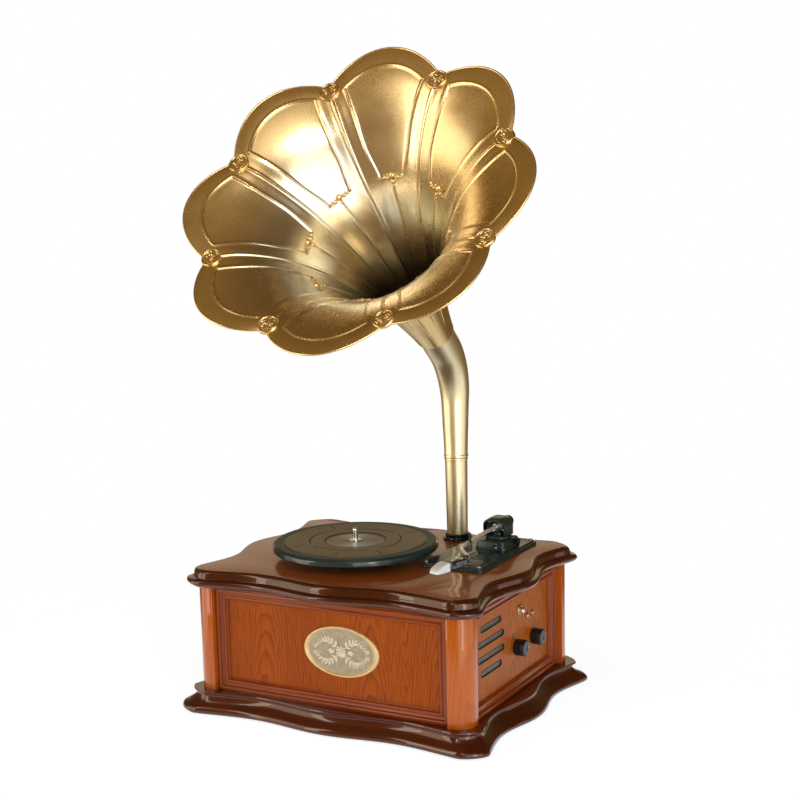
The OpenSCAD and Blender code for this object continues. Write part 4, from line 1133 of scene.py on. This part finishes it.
def side_details():
    for s, nm in ((1, "right"), (-1, "left")):
        g = Geo()
        for z, l in SLOTS:
            l -= 7.4
            R = []
            for r, x in fillet([(3.62, 179.2, 0), (3.62, 184.6, 0.2), (3.85, 185.5), (4.35, 185.55), (4.75, 185.02, 0), (3.64, 185.0, 0)], 0.2, 2):
                P = stadium(l, r)
                R.append(np.column_stack([np.full(len(P), s*x), P[:, 0]-61.5, P[:, 1]+z]))
            v, f = rings(R, wrap_r=True)
            g.add((v, f))
        build("sound_slot_liners_"+nm, g, MAT["black_satin"], "cabinet", ())
        # punched metal behind each slot
        g = Geo()
        for z, l in SLOTS:
            P = stadium(l-7.4, 3.62)
            R = [np.column_stack([np.full(len(P), s*x), P[:, 0]-61.5, P[:, 1]+z]) for x in (183.2, 183.8)]
            g.add(rings(R))
        build("sound_slot_mesh_"+nm, g, MAT["slot_mesh"], "cabinet", ())
    X = turn("Y", 90)
    prof = fillet([(0, 1), (9.7, 1.0), (10.8, 2.2), (10.8, 11.9), (10.3, 12.3, 0.15), (10.3, 13.2, 0.15), (10.8, 13.6), (10.7, 14.4), (9.6, 15.6), (3.4, 15.6),
                   (2.8, 15.1), (0, 15.0)], 0.35, 3, closed=False)

    def flute(j, a):
        return -0.20*(0.5-0.5*cos(40*a)) if 2.4 < rows[j] < 11.8 else 0.0
    body = []
    for (r0, h0), (r1, h1) in zip(prof, prof[1:]):
        body.append((r0, h0))
        if abs(h1-h0) > 4 and r0 > 9:
            body += [(r0, h0+0.5), (r1, h1-0.5)]
    body.append(prof[-1])
    rows = [h for _, h in body]
    for nm, y, bd in (("volume", 12.5, "volume"), ("tuning", 67, "tuning")):
        g = Geo()
        g.add(revolve(body, 160, flute=flute))
        g.add(revolve(fillet([(0, -17), (3, -17), (3, 1.5), (0, 1.5)], 0.3, 2, closed=False), 24))
        g.add(rbox(-0.4, 6.2, 15.2, 0.4, 9.2, 15.75, 0.2, 0.15), 1)
        T = move(185, y, 87.5) @ X
        g.v = [v @ T[:3, :3].T+T[:3, 3] for v in g.v]
        build(nm+"_knob_body", g, [MAT["black_gloss"], MAT["guard_white"]], bd, [nm+"_knob"], sharp=40)
    g = Geo()
    g.add(revolve(fillet([(4.3, 0.0, 0), (7.4, 0, 0), (7.4, 1.0), (6.6, 1.8), (5.2, 1.8), (4.3, 1.3)], 0.4, 3), 48, hollow=True), T=move(185, 27, 133.5) @ X)
    g.add(revolve([(4.3, -15.9), (5.45, -15.9), (5.45, 0.1), (4.3, 0.1)], 32, hollow=True), T=move(185, 27, 133.5) @ X)
    build("button_collar", g, MAT["jack_brass"], "cabinet", ["button_bezel"])
    g = Geo()
    g.add(revolve(fillet([(0, -9), (4.2, -9), (4.2, 4.4), (3.9, 5.6), (2.7, 6.6), (0, 7.0)], 0.8, 4, closed=False), 40), T=move(185, 27, 133.5) @ X)
    build("button_cap", g, MAT["button_silver"], "button", ["power_button"])
    g = Geo()
    for y in (50.5, 66):
        T = move(185, y, 119.5) @ X
        hexa = [(4.7*cos(radians(60*k)), 4.7*sin(radians(60*k))) for k in range(6)]
        hexr = np.array(fillet([(*p, 0.4) for p in hexa], 0.4, 3))
        R = [np.column_stack([hexr*q, np.full(len(hexr), z)]) for q, z in ((1, 0), (1, 1.3), (0.94, 1.75), (0.80, 1.8))]
        g.add(rings(R), T=T)
        g.add(revolve(fillet([(1.8, -13.9, 0), (3.45, -13.9, 0), (3.45, 2.0), (3.0, 2.6), (2.1, 2.6), (1.8, 2.2)], 0.25, 2), 40, hollow=True), T=T)
    build("side_jack_nuts", g, MAT["jack_brass"], "cabinet", ["side_jacks"])
    # pins of the mains inlet and coloured collars of the rear sockets
    g = Geo()
    for x in (-5.5, 0, 5.5):
        g.add(rbox(-94+x-0.9, 132.5, 72-(2 if x else -1.5)-1.8, -94+x+0.9, 145.5, 72-(2 if x else -1.5)+1.8, 0.5, 0.3))
    build("inlet_pins", g, MAT["bright_steel"], "cabinet", ())
    g = Geo()
    for i, x in enumerate((-18, 0, 18)):
        g.add(revolve(fillet([(3.4, 1.7, 0), (6.6, 1.7, 0), (6.6, 2.6), (5.2, 3.2), (3.4, 3.2, 0)], 0.3, 2), 40, hollow=True), i % 2,
              T=move(90+x, 146, 73) @ turn("X", -90))
    build("rear_socket_collars", g, [MAT["guard_white"], MAT["socket_red"]], "cabinet", ())


# ---- turntable -------------------------------------------------------------------------
MARK = (-16.0, -96.0)


def turntable():
    T = move(*PLAT)
    R = 110.7
    prof = fillet([(4.1, 198.2, 0), (12, 198.2), (12, 213, 0.5), (42, 213, 0.5), (42, 199.2), (45, 199.2), (45, 213, 0.5), (106.7, 213, 0.5),
                   (106.7, 206.6), (109.4, 206.6), (R, 208.0), (R, 213.6), (R-1.0, 214.6), (R-3.6, 217.1, 0.9), (97.4, 217.2, 0.5), (95.6, 216.6, 0.3),
                   (95.3, 216.0, 0.2), (4.1, 216.0, 0)], 0.7, 4)
    g = Geo()
    g.add(revolve(prof, 192, hollow=True), T=T)
    build("platter_casting", g, MAT["platter_black"], "platter", ["platter"], sharp=34)
    # mat: polar grid with a ring of four arcs, short radial marks and a dished middle
    rr = np.array([4.1, 6, 8.8, 9.3, 9.8, 14, 22, 30, 35.5, 37.5, 38.6, 39.6, 40.4, 41.5, 44, 50, 56, 59.4, 60.1, 60.6, 61, 61.4, 61.9, 62.6, 66, 69.6, 70,
                   76, 82, 88, 90.4, 91, 93.4, 94.2, 94.7, 94.9])
    marks = [radians(a) for a in (-38, 52, 142, 232)]
    th = []
    for m in marks:
        th += [m+radians(q) for q in (-7.5, -6.8, -6.2, -0.9, -0.55, -0.3, 0, 0.3, 0.55, 0.9, 6.2, 6.8, 7.5)]
        th += [m+radians(q) for q in np.linspace(7.5, 82.5, 34)[1:-1]]
    th = np.array(sorted(t % (2*pi) for t in th))
    TH, RR = np.meshgrid(th, rr)
    off = np.min([np.abs((TH-m+pi) % (2*pi)-pi) for m in marks], axis=0)
    z = np.where(RR > 40.4, 217.8, np.where(RR > 39.6, 217.5, 216.9))
    z = np.where(RR < 39.6, 216.6+0.35*smooth(36, 39.6, RR)+0.35*smooth(9.6, 9.0, RR), z)
    groove = np.exp(-((RR-61)/0.42)**2)*smooth(radians(6.2), radians(6.9), off)
    radial = np.exp(-(off*RR/0.50)**2)*smooth(69.6, 70.0, RR)*smooth(91.0, 90.4, RR)
    z = z-0.75*groove-0.6*radial
    z = np.where(RR > 94.0, z-(RR-94.0)**2*0.5, z)
    n = len(th)
    top = np.stack([RR*np.cos(TH), RR*np.sin(TH), z], -1)
    low = [np.column_stack([r*np.cos(th), r*np.sin(th), np.full(n, 216.05)]) for r in (94.9, 4.1)]
    S = np.concatenate([top, np.array(low)])
    v, f = rings(S, wrap_r=True)
    g = Geo()
    g.add((v, f), T=T)
    g.m = [1 if i//n < 11 else 0 for i in range(len(f))]
    build("platter_mat_ribbed", g, [MAT["mat_rubber"], MAT["dish_metal"]], "platter", ["platter_mat"], sharp=40)
    g = Geo()
    g.add(revolve(fillet([(0, 174), (4, 174), (4, 217.3), (3.55, 217.5, 0.1), (3.55, 231.4), (2.6, 233.2), (0, 233.9)], 0.9, 4, closed=False), 48), T=T)
    g.add(revolve(fillet([(3.6, 216.7, 0), (8.4, 216.7, 0), (8.4, 217.4), (6.6, 218.1), (3.6, 218.3)], 0.4, 3), 48, hollow=True), T=T)
    build("record_spindle", g, MAT["bright_steel"], "platter", ["spindle"])
    g = Geo()
    g.add(revolve(fillet([(0, 217.0), (1.9, 217.0), (2.1, 217.95), (1.2, 218.15), (0, 217.9)], 0.2, 2, closed=False), 24), T=move(*MARK))
    build("mat_index_dot", g, MAT["rubber_black"], "platter", ())


# ---- tonearm -----------------------------------------------------------------------------


def cross_screw(r=3.2, h=1.5, a=1.9, w=0.42, deep=0.75):
    """Domed screw head with a cross recess, as a polar grid."""
    n = 72
    th = 2*pi*np.arange(n)/n
    rr = np.concatenate([np.linspace(0.04*r, 0.97*r, 20), [r, r]])
    X, Y = np.outer(rr, np.cos(th)), np.outer(rr, np.sin(th))
    q = np.minimum(np.repeat(rr[:, None], n, 1)/r, 1)
    Z = 0.2+(h-0.2)*np.sqrt(np.clip(1-q**2.6, 0, 1))
    e = 0.3*w
    one = smooth(w+e, w-e, np.abs(X))*smooth(a+e, a-e, np.abs(Y))
    two = smooth(w+e, w-e, np.abs(Y))*smooth(a+e, a-e, np.abs(X))
    Z = Z-deep*np.maximum(one, two)
    Z[-1] = -0.4
    S = np.stack([X, Y, Z], -1)
    v = np.concatenate([[[0, 0, Z[0].mean()]], S.reshape(-1, 3), [[0, 0, -0.4]]])
    f = [tuple(i+1 for i in t) for t in grid_faces(len(rr), n)]
    last = 1+(len(rr)-1)*n
    f += [(0, 1+k, 1+(k+1) % n) for k in range(n)]
    f += [(len(v)-1, last+(k+1) % n, last+k) for k in range(n)]
    return v, f


def tonearm():
    metal, satin = MAT["deck_metal"], MAT["black_satin"]
    HZ = 200.5
    g = Geo()
    g.add(slab(rrect(72, -37, 162, 142, 8, 8), 194.55, 198.4, 1.2, 0.1))
    g.add(slab(rrect(75.2, -33.8, 158.8, 138.8, 6, 8), 198.0, 200.5, 0.8, 0))
    # low ribs and a raised field on the plate
    g.add(slab(rrect(96, -20, 116, 44, 4, 6), 200.2, 201.3, 0.5, 0))
    for k in range(4):
        g.add(rbox(120.5, 8+k*7, 200.3, 148, 10.6+k*7, 201.2, 1.2, 0.4))
    build("tonearm_base_plate", g, metal, "cabinet", ["tonearm_plate"], sharp=40)
    pts = [(78, -28), (154, -28), (154, 134), (78, 134)]
    g = Geo()
    for i, (x, y) in enumerate(pts):
        g.add(cross_screw(), T=move(x, y, HZ) @ turn("Z", 20+37*i))
    build("plate_screw_heads", g, MAT["plain_steel"], "cabinet", ["plate_screws"], sharp=50)
    # pivot housing, drawn in towards the top
    P = np.array(rrect(106, 58, 150, 112, 6, 8))
    R = [np.column_stack([inset(P, d), np.full(len(P), z)]) for d, z in
         [(0, 200.5), (0, 203.5), (0.3, 204.3), (0.9, 204.7), (1.2, 205.2), (1.9, 209.2), (2.7, 211.0), (4.2, 211.8), (6.4, 212.0)]]
    g = Geo()
    g.add(rings(R))
    g.add(revolve(fillet([(6.4, 211.6, 0), (15.6, 211.6, 0), (15.6, 212.2), (14.6, 212.42), (6.4, 212.42, 0)], 0.2, 2), 64, hollow=True), T=move(128, 88))
    build("tonearm_pivot_housing", g, metal, "cabinet", ["pivot_housing"], sharp=35)
    # yoke: turntable disc, column and hood
    arch = []
    for w, h, r, rev in ((16, 25, 10.5, False), (13.3, 21.8, 7.8, True)):
        a = [(w, 0)]+[(w-r+r*cos(t), h-r+r*sin(t)) for t in np.linspace(0, pi/2, 9)]
        a += [(-w+r+r*cos(t), h-r+r*sin(t)) for t in np.linspace(pi/2, pi, 9)]+[(-w, 0)]
        arch += a[::-1] if rev else a
    A = np.array(fillet([(p[0], p[1], 0.5) for p in arch], 0.5, 2))
    g = Geo()
    n = len(A)
    rows = []
    b = 1.1
    for k, (d, y) in enumerate([(b, 13.0), (b*0.3, 12.7), (0, 11.9), (0, 4), (0, -4), (0, -12.4), (b*0.3, -13.2), (b, -13.5)]):
        Q = inset(A, d)
        # the hood leans forward a little at its front edge
        lean = smooth(-4, -13, y)*0.12
        rows.append(np.column_stack([128+Q[:, 0], np.full(n, 88+y)-Q[:, 1]*lean, 215.5+Q[:, 1]*(1-0.03*abs(y)/13)]))
    g.add(rings(rows))
    g.add(revolve(fillet([(0, 212.55), (17.4, 212.55), (17.4, 214.8), (16.2, 216.0), (0, 216.0)], 0.6, 3, closed=False), 72), T=move(128, 88))
    g.add(revolve(fillet([(0, 215.8), (7.6, 215.8), (7.2, 219.0), (5.6, 221.2), (0, 221.4)], 0.7, 3, closed=False), 40), T=move(128, 88))
    g.add(revolve([(0, 201.6), (5.9, 201.6), (5.9, 213), (0, 213)], 32), T=move(128, 88))
    for s in (-1, 1):
        for k in range(5):
            g.add(rbox(-0.5, -0.5, 0, 0.5, 0.5, 9.0, 0.35, 0.4), T=move(128+s*16.0, 80.5+k*3.4, 218.5))
        g.add(revolve(fillet([(0, 0), (4.1, 0), (3.7, 1.0), (1.6, 1.3), (1.2, 0.8), (0, 0.8)], 0.3, 3, closed=False), 32), T=move(128+s*15.9, 88, 228) @ turn("Y", 90*s))
    build("tonearm_yoke_hood", g, metal, "yoke", ["tonearm_yoke"], sharp=40)
    g = Geo()
    g.add(rbox(119.5, 81, 223, 136.5, 95, 233, 2.2, 1.4))
    g.add(revolve(fillet([(0, -16.0), (2, -16.0), (2, 16.0), (0, 16.0)], 0.3, 2, closed=False), 24), T=move(128, 88, 228) @ turn("Y", 90))
    g.add(revolve(fillet([(2.9, 0, 0), (4.6, 0), (4.2, 3.2), (2.9, 3.6, 0)], 0.5, 3), 32, hollow=True), T=move(128, 81.2, 228) @ turn("X", 90))
    build("arm_gimbal", g, MAT["plain_steel"], "arm", ["gimbal_block"])
    # tube
    P = [(128, y, 228.0) for y in (124, 118, 100, 88, 80.8)]+[(128, 80.2, 228.0), (128, 73.0, 227.95)]
    r = [2.5]*5+[2.8]*2
    for n, z0, z1, q in ((20, 227.9, 227.2, ((128, 66), (128, 30), (132.4, -1), (134.4, -31))),
                         (26, 227.2, 226.8, ((134.4, -31), (136.2, -58), (165.5, -71), (163, -84)))):
        q = np.array(q, float)
        for t in np.linspace(0, 1, n)[1 if z0 < 227.5 else 0:]:
            c = q[0]*(1-t)**3+q[1]*3*t*(1-t)**2+q[2]*3*t*t*(1-t)+q[3]*t**3
            P.append((c[0], c[1], z0+(z1-z0)*t))
            r.append(2.8)
    g = Geo()
    g.add(tube(P, r, 28))
    build("arm_tube_bent", g, MAT["arm_metal"], "arm", ["arm_tube"])
    g = Geo()
    prof = fillet([(2.6, 0, 0), (7.1, 0), (7.6, 1.0), (7.6, 1.7, 0.2), (7.9, 2.2), (7.9, 5.0), (7.5, 5.5, 0.2), (7.6, 6.2, 0.2), (7.6, 19.0), (6.9, 20), (2.6, 20, 0)], 0.5, 3)
    rows2 = [h for _, h in prof]
    g.add(revolve(prof, 120, hollow=True, flute=lambda j, a: -0.16*(0.5-0.5*cos(30*a)) if 2.3 < rows2[j] < 4.9 else 0.0), T=move(128, 102, 228) @ turn("X", -90))
    g.add(revolve(fillet([(0, 0), (2.6, 0), (2.6, 1.2), (0, 1.6)], 0.3, 2, closed=False), 24), T=move(128, 123.6, 228) @ turn("X", -90))
    build("arm_counterweight", g, satin, "arm", ["counterweight"])
    # headshell, cartridge and guard
    S = move(163, -84, -1.2) @ turn("Z", -17)
    g = Geo()
    P = np.array(rrect(-8.5, -36, 8.5, -4, 3.2, 6))
    R = [np.column_stack([inset(P, d), np.full(len(P), z)]) for d, z in
         [(0.6, 225.2), (0.1, 225.6), (0, 226.4), (0, 228.4), (0.5, 229.6), (1.5, 230.3), (3.0, 230.6)]]
    g.add(rings(R), T=S)
    for k in range(3):
        g.add(rbox(-5.2, -30+k*5.2, 230.2, 5.2, -27.6+k*5.2, 231.0, 0.9, 0.35), T=S)
    g.add(revolve(fillet([(2.9, 0, 0), (4.4, 0), (4.4, 4.4), (3.6, 5.4), (2.9, 5.4, 0)], 0.5, 3), 36, hollow=True), T=S @ move(0, 1.2, 228.0) @ turn("X", 90))
    tab = [(8.2, -33.8), (12.5, -34.4), (16.4, -33.4), (17.3, -31.4), (16.2, -29.6), (12.4, -29.2), (8.2, -29.4)]
    Q = np.array(fillet([(*p, 0.8) for p in tab], 0.8, 3))
    R = []
    for z, d in ((226.9, 0.3), (227.1, 0.0), (228.2, 0.0), (228.5, 0.3)):
        q = inset(Q, d)
        R.append(np.column_stack([q, z+0.012*np.clip(q[:, 0]-8.4, 0, None)**2]))
    g.add(rings(R), T=S)
    build("headshell_body", g, MAT["shell_blue"], "arm", ["headshell"])
    g = Geo()
    for x, y in ((-4.2, -12.5), (4.2, -12.5)):
        g.add(revolve(fillet([(0, 0), (1.5, 0), (1.5, 0.7), (0.9, 1.1), (0, 1.1)], 0.3, 2, closed=False), 20), T=S @ move(x, y, 230.3))
    build("headshell_screws", g, MAT["bright_steel"], "arm", ())
    g = Geo()
    g.add(rbox(-6.3, -33.5, 220.6, 6.3, -10.5, 225.3, 1.2, 0.8), T=S)
    g.add(rbox(-4, -38.5, 220.9, 4, -33, 224.8, 1.0, 0.7), T=S)
    g.add(revolve([(0, 219.9), (0.25, 220.0), (0.8, 221.5), (0, 221.6)], 12), T=S @ move(0, -42))
    g.add(tube([(0, -37.5, 222.0), (0, -40, 221.8), (0, -43, 221.4)], [0.6, 0.55, 0.45], 10), T=S)
    build("cartridge_body", g, MAT["shell_blue"], "arm", ["cartridge"])
    # guard: a visor hooked over the front of the cartridge
    R = []
    for y, hw, zt, zi in ((-36.3, 7.7, 230.2, 229.2), (-36.6, 8.0, 230.5, 229.0), (-39, 8.0, 230.45, 229.0), (-42, 8.0, 230.1, 228.6), (-47, 8.0, 228.9, 227.3),
                          (-52, 7.9, 227.0, 225.3), (-54.6, 7.7, 225.8, 223.6), (-56.0, 7.5, 224.9, 219.6), (-57.4, 7.1, 223.7, 219.6), (-58.4, 6.5, 222.5, 219.6),
                          (-58.9, 5.8, 221.3, 219.6)):
        U = []
        for w, z, q in ((hw, zt, 2.2), (hw-1.5, zi, 1.2)):
            q = min(q, max(z-219.6, 0.02)*0.6)
            u = [(-w, 219.5)]+[(-w+q+q*cos(t), z-q+q*sin(t)) for t in np.linspace(pi, pi/2, 7)]
            u += [(w-q+q*cos(t), z-q+q*sin(t)) for t in np.linspace(pi/2, 0, 7)]+[(w, 219.5)]
            U += u if w == hw else u[::-1]
        U = np.array(U)
        R.append(np.column_stack([U[:, 0], np.full(len(U), y), U[:, 1]]))
    g = Geo()
    g.add(rings(R), T=S)
    g.add(tube([(6.6, -38.4, 222.6), (8.2, -38.4, 222.6)], [1.3, 1.1], 16), T=S)
    build("stylus_guard_visor", g, MAT["guard_white"], "arm", ["stylus_guard"], sharp=50)
    # rest, latch, lever, speed knob
    g = Geo()
    T = move(134.2, -28, HZ)
    prof = [(0, 0), (7, 0), (7, 1.4), (6, 2.2), (3.8, 2.6, 0.8)]
    for z in (5.5, 10.1, 14.7):
        prof += [(3.6, z-0.4, 0.3), (5, z+0.1), (5, z+1.9), (3.6, z+2.4, 0.3)]
    prof += [(3.6, 20.3), (0, 20.3)]
    g.add(revolve(fillet(prof, 0.5, 3, closed=False), 40), T=T)
    g.add(rbox(129.2, -32, 220.5, 143.2, -24, 224.0, 2.0, 0.6))
    g.add(rbox(140.4, -32, 221.5, 143.2, -30.3, 233.8, 0.6, 0.4))
    g.add(rbox(140.4, -25.7, 221.5, 143.2, -24, 233.8, 0.6, 0.4))
    g.add(rbox(140.6, -31.5, 221.5, 143.0, -24.5, 229.1, 0.6, 0.4))
    g.add(rbox(129.1, -31.5, 222.1, 130.6, -24.5, 224.9, 0.5, 0.3))
    build("arm_rest_post", g, MAT["rest_metal"], "cabinet", ["arm_rest"])
    g = Geo()
    T = move(141.7, -28, 231.8)
    g.add(revolve(fillet([(0, -3.8), (0.8, -3.8), (0.8, 3.8), (0, 3.8)], 0.1, 1, closed=False), 16), T=T @ turn("X", 90))
    g.add(revolve(fillet([(0, -1.9), (1.3, -1.9), (1.3, 1.9), (0, 1.9)], 0.3, 2, closed=False), 20), T=T @ turn("X", 90))
    g.add(rbox(-0.9, -1.9, 0, 0.9, 1.9, 13, 0.4, 0.5), T=T)
    g.add(rbox(-3.6, -1.9, 11.4, -0.2, 1.9, 13, 0.5, 0.5), T=T)
    build("rest_latch_clip", g, satin, "latch", ["rest_latch"])
    g = Geo()
    T = move(0, 98, 206.5)
    g.add(revolve([(0, 141), (2, 141), (2, 151), (0, 151)], 24), T=T @ turn("Y", 90))
    g.add(revolve(fillet([(0, 150.5), (4.6, 150.5), (4.6, 153.2), (3.6, 153.9), (0, 153.9)], 0.6, 3, closed=False), 40), T=T @ turn("Y", 90))
    g.add(tube([(152.2, 0, 0), (152.2, -9, 4.6), (152.2, -15, 7.4), (152.2, -19, 9)], [1.9, 1.5, 1.4, 1.5], 20, up=(1, 0, 0)), T=T)
    g.add(revolve([(2.7*sin(q), -2.7*cos(q)) for q in np.linspace(0, pi, 15)], 24), T=T @ move(152.2, -19, 9))
    build("cueing_lever", g, satin, "cue", ["cue_lever"])
    g = Geo()
    T = move(140, 57.6, 206.5) @ turn("X", 90)
    prof = fillet([(0, 0.1), (5.6, 0.1), (5.6, 3.2), (4.9, 4.3), (3.6, 4.4), (3.0, 3.5), (0, 3.5)], 0.5, 3, closed=False)
    rows3 = [h for _, h in prof]
    g.add(revolve(prof, 96, flute=lambda j, a: -0.22*(0.5-0.5*cos(24*a)) if rows3[j] < 3.3 and rows3[j] > 0.3 else 0.0), T=T)
    g.add(revolve([(0, -11), (2, -11), (2, 0.5), (0, 0.5)], 24), T=T)
    g.add(revolve(fillet([(0, 3.3), (1.1, 3.3), (1.1, 4.6), (0, 4.8)], 0.3, 2, closed=False), 20), 1, T=T)
    g.add(rbox(-0.35, 3.7, 4.0, 0.35, 5.0, 4.6, 0.2, 0.15), 1, T=T)
    build("speed_selector", g, [satin, MAT["guard_white"]], "speed", ["speed_knob"])


def flange():
    T = move(PIPE_X, PIPE_Y, 0)
    g = Geo()
    g.add(revolve(fillet([(14.75, 194.55, 0), (20, 194.55, 0.1), (20, 196.6), (19.4, 197.4), (17.2, 197.6, 0.5), (16.8, 198.4, 0.3), (16.8, 202.2), (16.0, 203.5), (14.75, 203.5, 0.3)], 0.7, 4),
                  96, hollow=True), T=T)
    build("pipe_flange", g, MAT["black_gloss"], "cabinet", ["tube_flange"], sharp=34)
    g = Geo()
    for i, a in enumerate((30, 150, 270)):
        M = T @ turn("Z", a) @ move(18.4, 0, 197.5)
        g.add(cross_screw(1.5, 0.9, 0.9, 0.2, 0.4), T=M @ turn("Z", 25*i))
    build("flange_screw_heads", g, MAT["plain_steel"], "cabinet", ["flange_screws"], sharp=50)


# ---- floor, surroundings and lights -------------------------------------------------
WHITE = 1.0


def stage():
    n = 96
    v = [(0, 0, -0.0004)]
    f = []
    for j, r in enumerate((0.3, 0.5, 0.8, 1.1, 1.5)):
        v += [(r*cos(2*pi*k/n), r*sin(2*pi*k/n), -0.0004) for k in range(n)]
        for k in range(n):
            a, b = 1+j*n+k, 1+j*n+(k+1) % n
            f.append((0, a, b) if j == 0 else (a-n, a, b, b-n))
    me = bpy.data.meshes.new("floor")
    me.from_pydata(v, [], f)
    o = bpy.data.objects.new("floor", me)
    bpy.context.scene.collection.objects.link(o)
    k = Nodes("floor_white")
    x, y, z = k.xyz()
    d = k.m("SQRT", k.m("ADD", k.m("MULTIPLY", x, x), k.m("MULTIPLY", y, y)))
    far = k.ramp(d, [(0.34, 0.0), (0.95, 1.0)], "EASE")
    clear = k.t.nodes.new("ShaderNodeBsdfTransparent")
    m = k.t.nodes.new("ShaderNodeMixShader")
    k.set(base=(FLOOR_A, FLOOR_A, FLOOR_A), rough=0.9, spec=0.0)
    k.p.inputs["Emission Color"].default_value = (0.90, 0.96, 1.0, 1)
    k.p.inputs["Emission Strength"].default_value = FLOOR_E
    k.put(m.inputs[0], far)
    k.t.links.new(k.p.outputs[0], m.inputs[1])
    k.t.links.new(clear.outputs[0], m.inputs[2])
    k.t.links.new(m.outputs[0], k.t.nodes["Material Output"].inputs[0])
    me.materials.append(k.mat)
    w = bpy.data.worlds.new("studio")
    bpy.context.scene.world = w
    w.use_nodes = True
    t = w.node_tree
    t.nodes.clear()
    out = t.nodes.new("ShaderNodeOutputWorld")
    mix = t.nodes.new("ShaderNodeMixShader")
    lp = t.nodes.new("ShaderNodeLightPath")
    a = t.nodes.new("ShaderNodeBackground")
    b = t.nodes.new("ShaderNodeBackground")
    b.inputs[0].default_value = (1, 1, 1, 1)
    b.inputs[1].default_value = WHITE
    g = t.nodes.new("ShaderNodeTexCoord")
    s = t.nodes.new("ShaderNodeSeparateXYZ")
    t.links.new(g.outputs["Generated"], s.inputs[0])

    def band(axis, stops):
        mr = t.nodes.new("ShaderNodeMapRange")
        mr.inputs[1].default_value, mr.inputs[2].default_value = -1, 1
        t.links.new(s.outputs[axis], mr.inputs[0])
        r = t.nodes.new("ShaderNodeValToRGB")
        t.links.new(mr.outputs[0], r.inputs[0])
        el = r.color_ramp.elements
        while len(el) < len(stops):
            el.new(0.5)
        for q, (p, c) in zip(el, stops):
            q.position, q.color = p, (*c, 1)
        return r.outputs[0]
    mul = t.nodes.new("ShaderNodeMix")
    mul.data_type, mul.blend_type = "RGBA", "MULTIPLY"
    mul.inputs[0].default_value = 1.0
    t.links.new(band(2, SKY), mul.inputs[6])
    t.links.new(band(1, DEPTH), mul.inputs[7])
    t.links.new(mul.outputs[2], a.inputs[0])
    a.inputs[1].default_value = 1.0
    t.links.new(lp.outputs["Is Camera Ray"], mix.inputs[0])
    t.links.new(a.outputs[0], mix.inputs[1])
    t.links.new(b.outputs[0], mix.inputs[2])
    t.links.new(mix.outputs[0], out.inputs[0])


def softbox(name, az, el, dist, w, h, radiance, colour, aim=(0, 0, 0.4)):
    """Rectangular light seen from the object at azimuth az (0 is the front, +90 the right side) and height angle el."""
    a, e = radians(az), radians(el)
    d = Vector((sin(a)*cos(e), -cos(a)*cos(e), sin(e)))
    L = bpy.data.lights.new(name, "AREA")
    L.shape = "RECTANGLE"
    L.size, L.size_y = w, h
    L.energy = radiance*pi*w*h
    L.color = colour
    o = bpy.data.objects.new(name, L)
    bpy.context.scene.collection.objects.link(o)
    o.location = Vector(aim)+d*dist
    o.rotation_euler = d.to_track_quat("Z", "Y").to_euler()
    o.visible_camera = False
    return o


FLOOR_A, FLOOR_E = 0.60, 0.88
SKY = [(0.0, (0.42, 0.26, 0.10)), (0.42, (0.40, 0.24, 0.085)), (0.52, (0.31, 0.178, 0.058)), (0.75, (0.27, 0.155, 0.048)), (1.0, (0.28, 0.175, 0.070))]
DEPTH = [(0.0, (1.0, 1.0, 1.0)), (0.45, (0.95, 0.95, 0.95)), (0.62, (0.50, 0.50, 0.50)), (1.0, (0.45, 0.45, 0.45))]
# name, azimuth, height angle, distance, width, height, radiance, colour, aim, lights rough surfaces too
LIGHTS = [
    ("window_left", -60, -2, 2.6, 2.1, 2.5, 1.8, (1.0, 0.95, 0.84), (0, 0, 0.6), True),
    ("window_right", 50, 2, 2.6, 2.5, 3.2, 1.9, (0.86, 0.94, 1.0), (0, 0, 0.6), True),
    ("top_soft", 10, 52, 2.4, 0.9, 0.7, 1.2, (1.0, 0.96, 0.90), (0, 0, 0.5), True),
    ("pane_left", -34, 12, 2.5, 0.42, 2.6, 4.6, (1.0, 0.97, 0.90), (0, 0, 0.45), False),
    ("pane_right", 51, 10, 2.5, 0.45, 2.5, 4.2, (0.92, 0.97, 1.0), (0, 0, 0.45), False),
    ("side_low", 100, -16, 2.6, 2.2, 1.9, 1.0, (0.95, 0.97, 1.0), (0, 0, 0.5), False),
    ("back_wall", -150, 15, 2.6, 2.6, 1.1, 0.60, (1.0, 0.84, 0.62), (0, 0, 0.2), False),
    ("glint", 16, 36, 2.4, 0.14, 0.9, 24.0, (1.0, 0.98, 0.95), (0, 0, 0.3), False),
]


def lights():
    for *q, rough in LIGHTS:
        softbox(*q).visible_diffuse = rough


stage()
lights()
bpy.context.scene.view_settings.view_transform = "Standard"

# ---- put it together ------------------------------------------------------------------
horn()
neck()
serpentine()
carcase()
plaque()
side_details()
turntable()
tonearm()
flange()
finish_nodes()
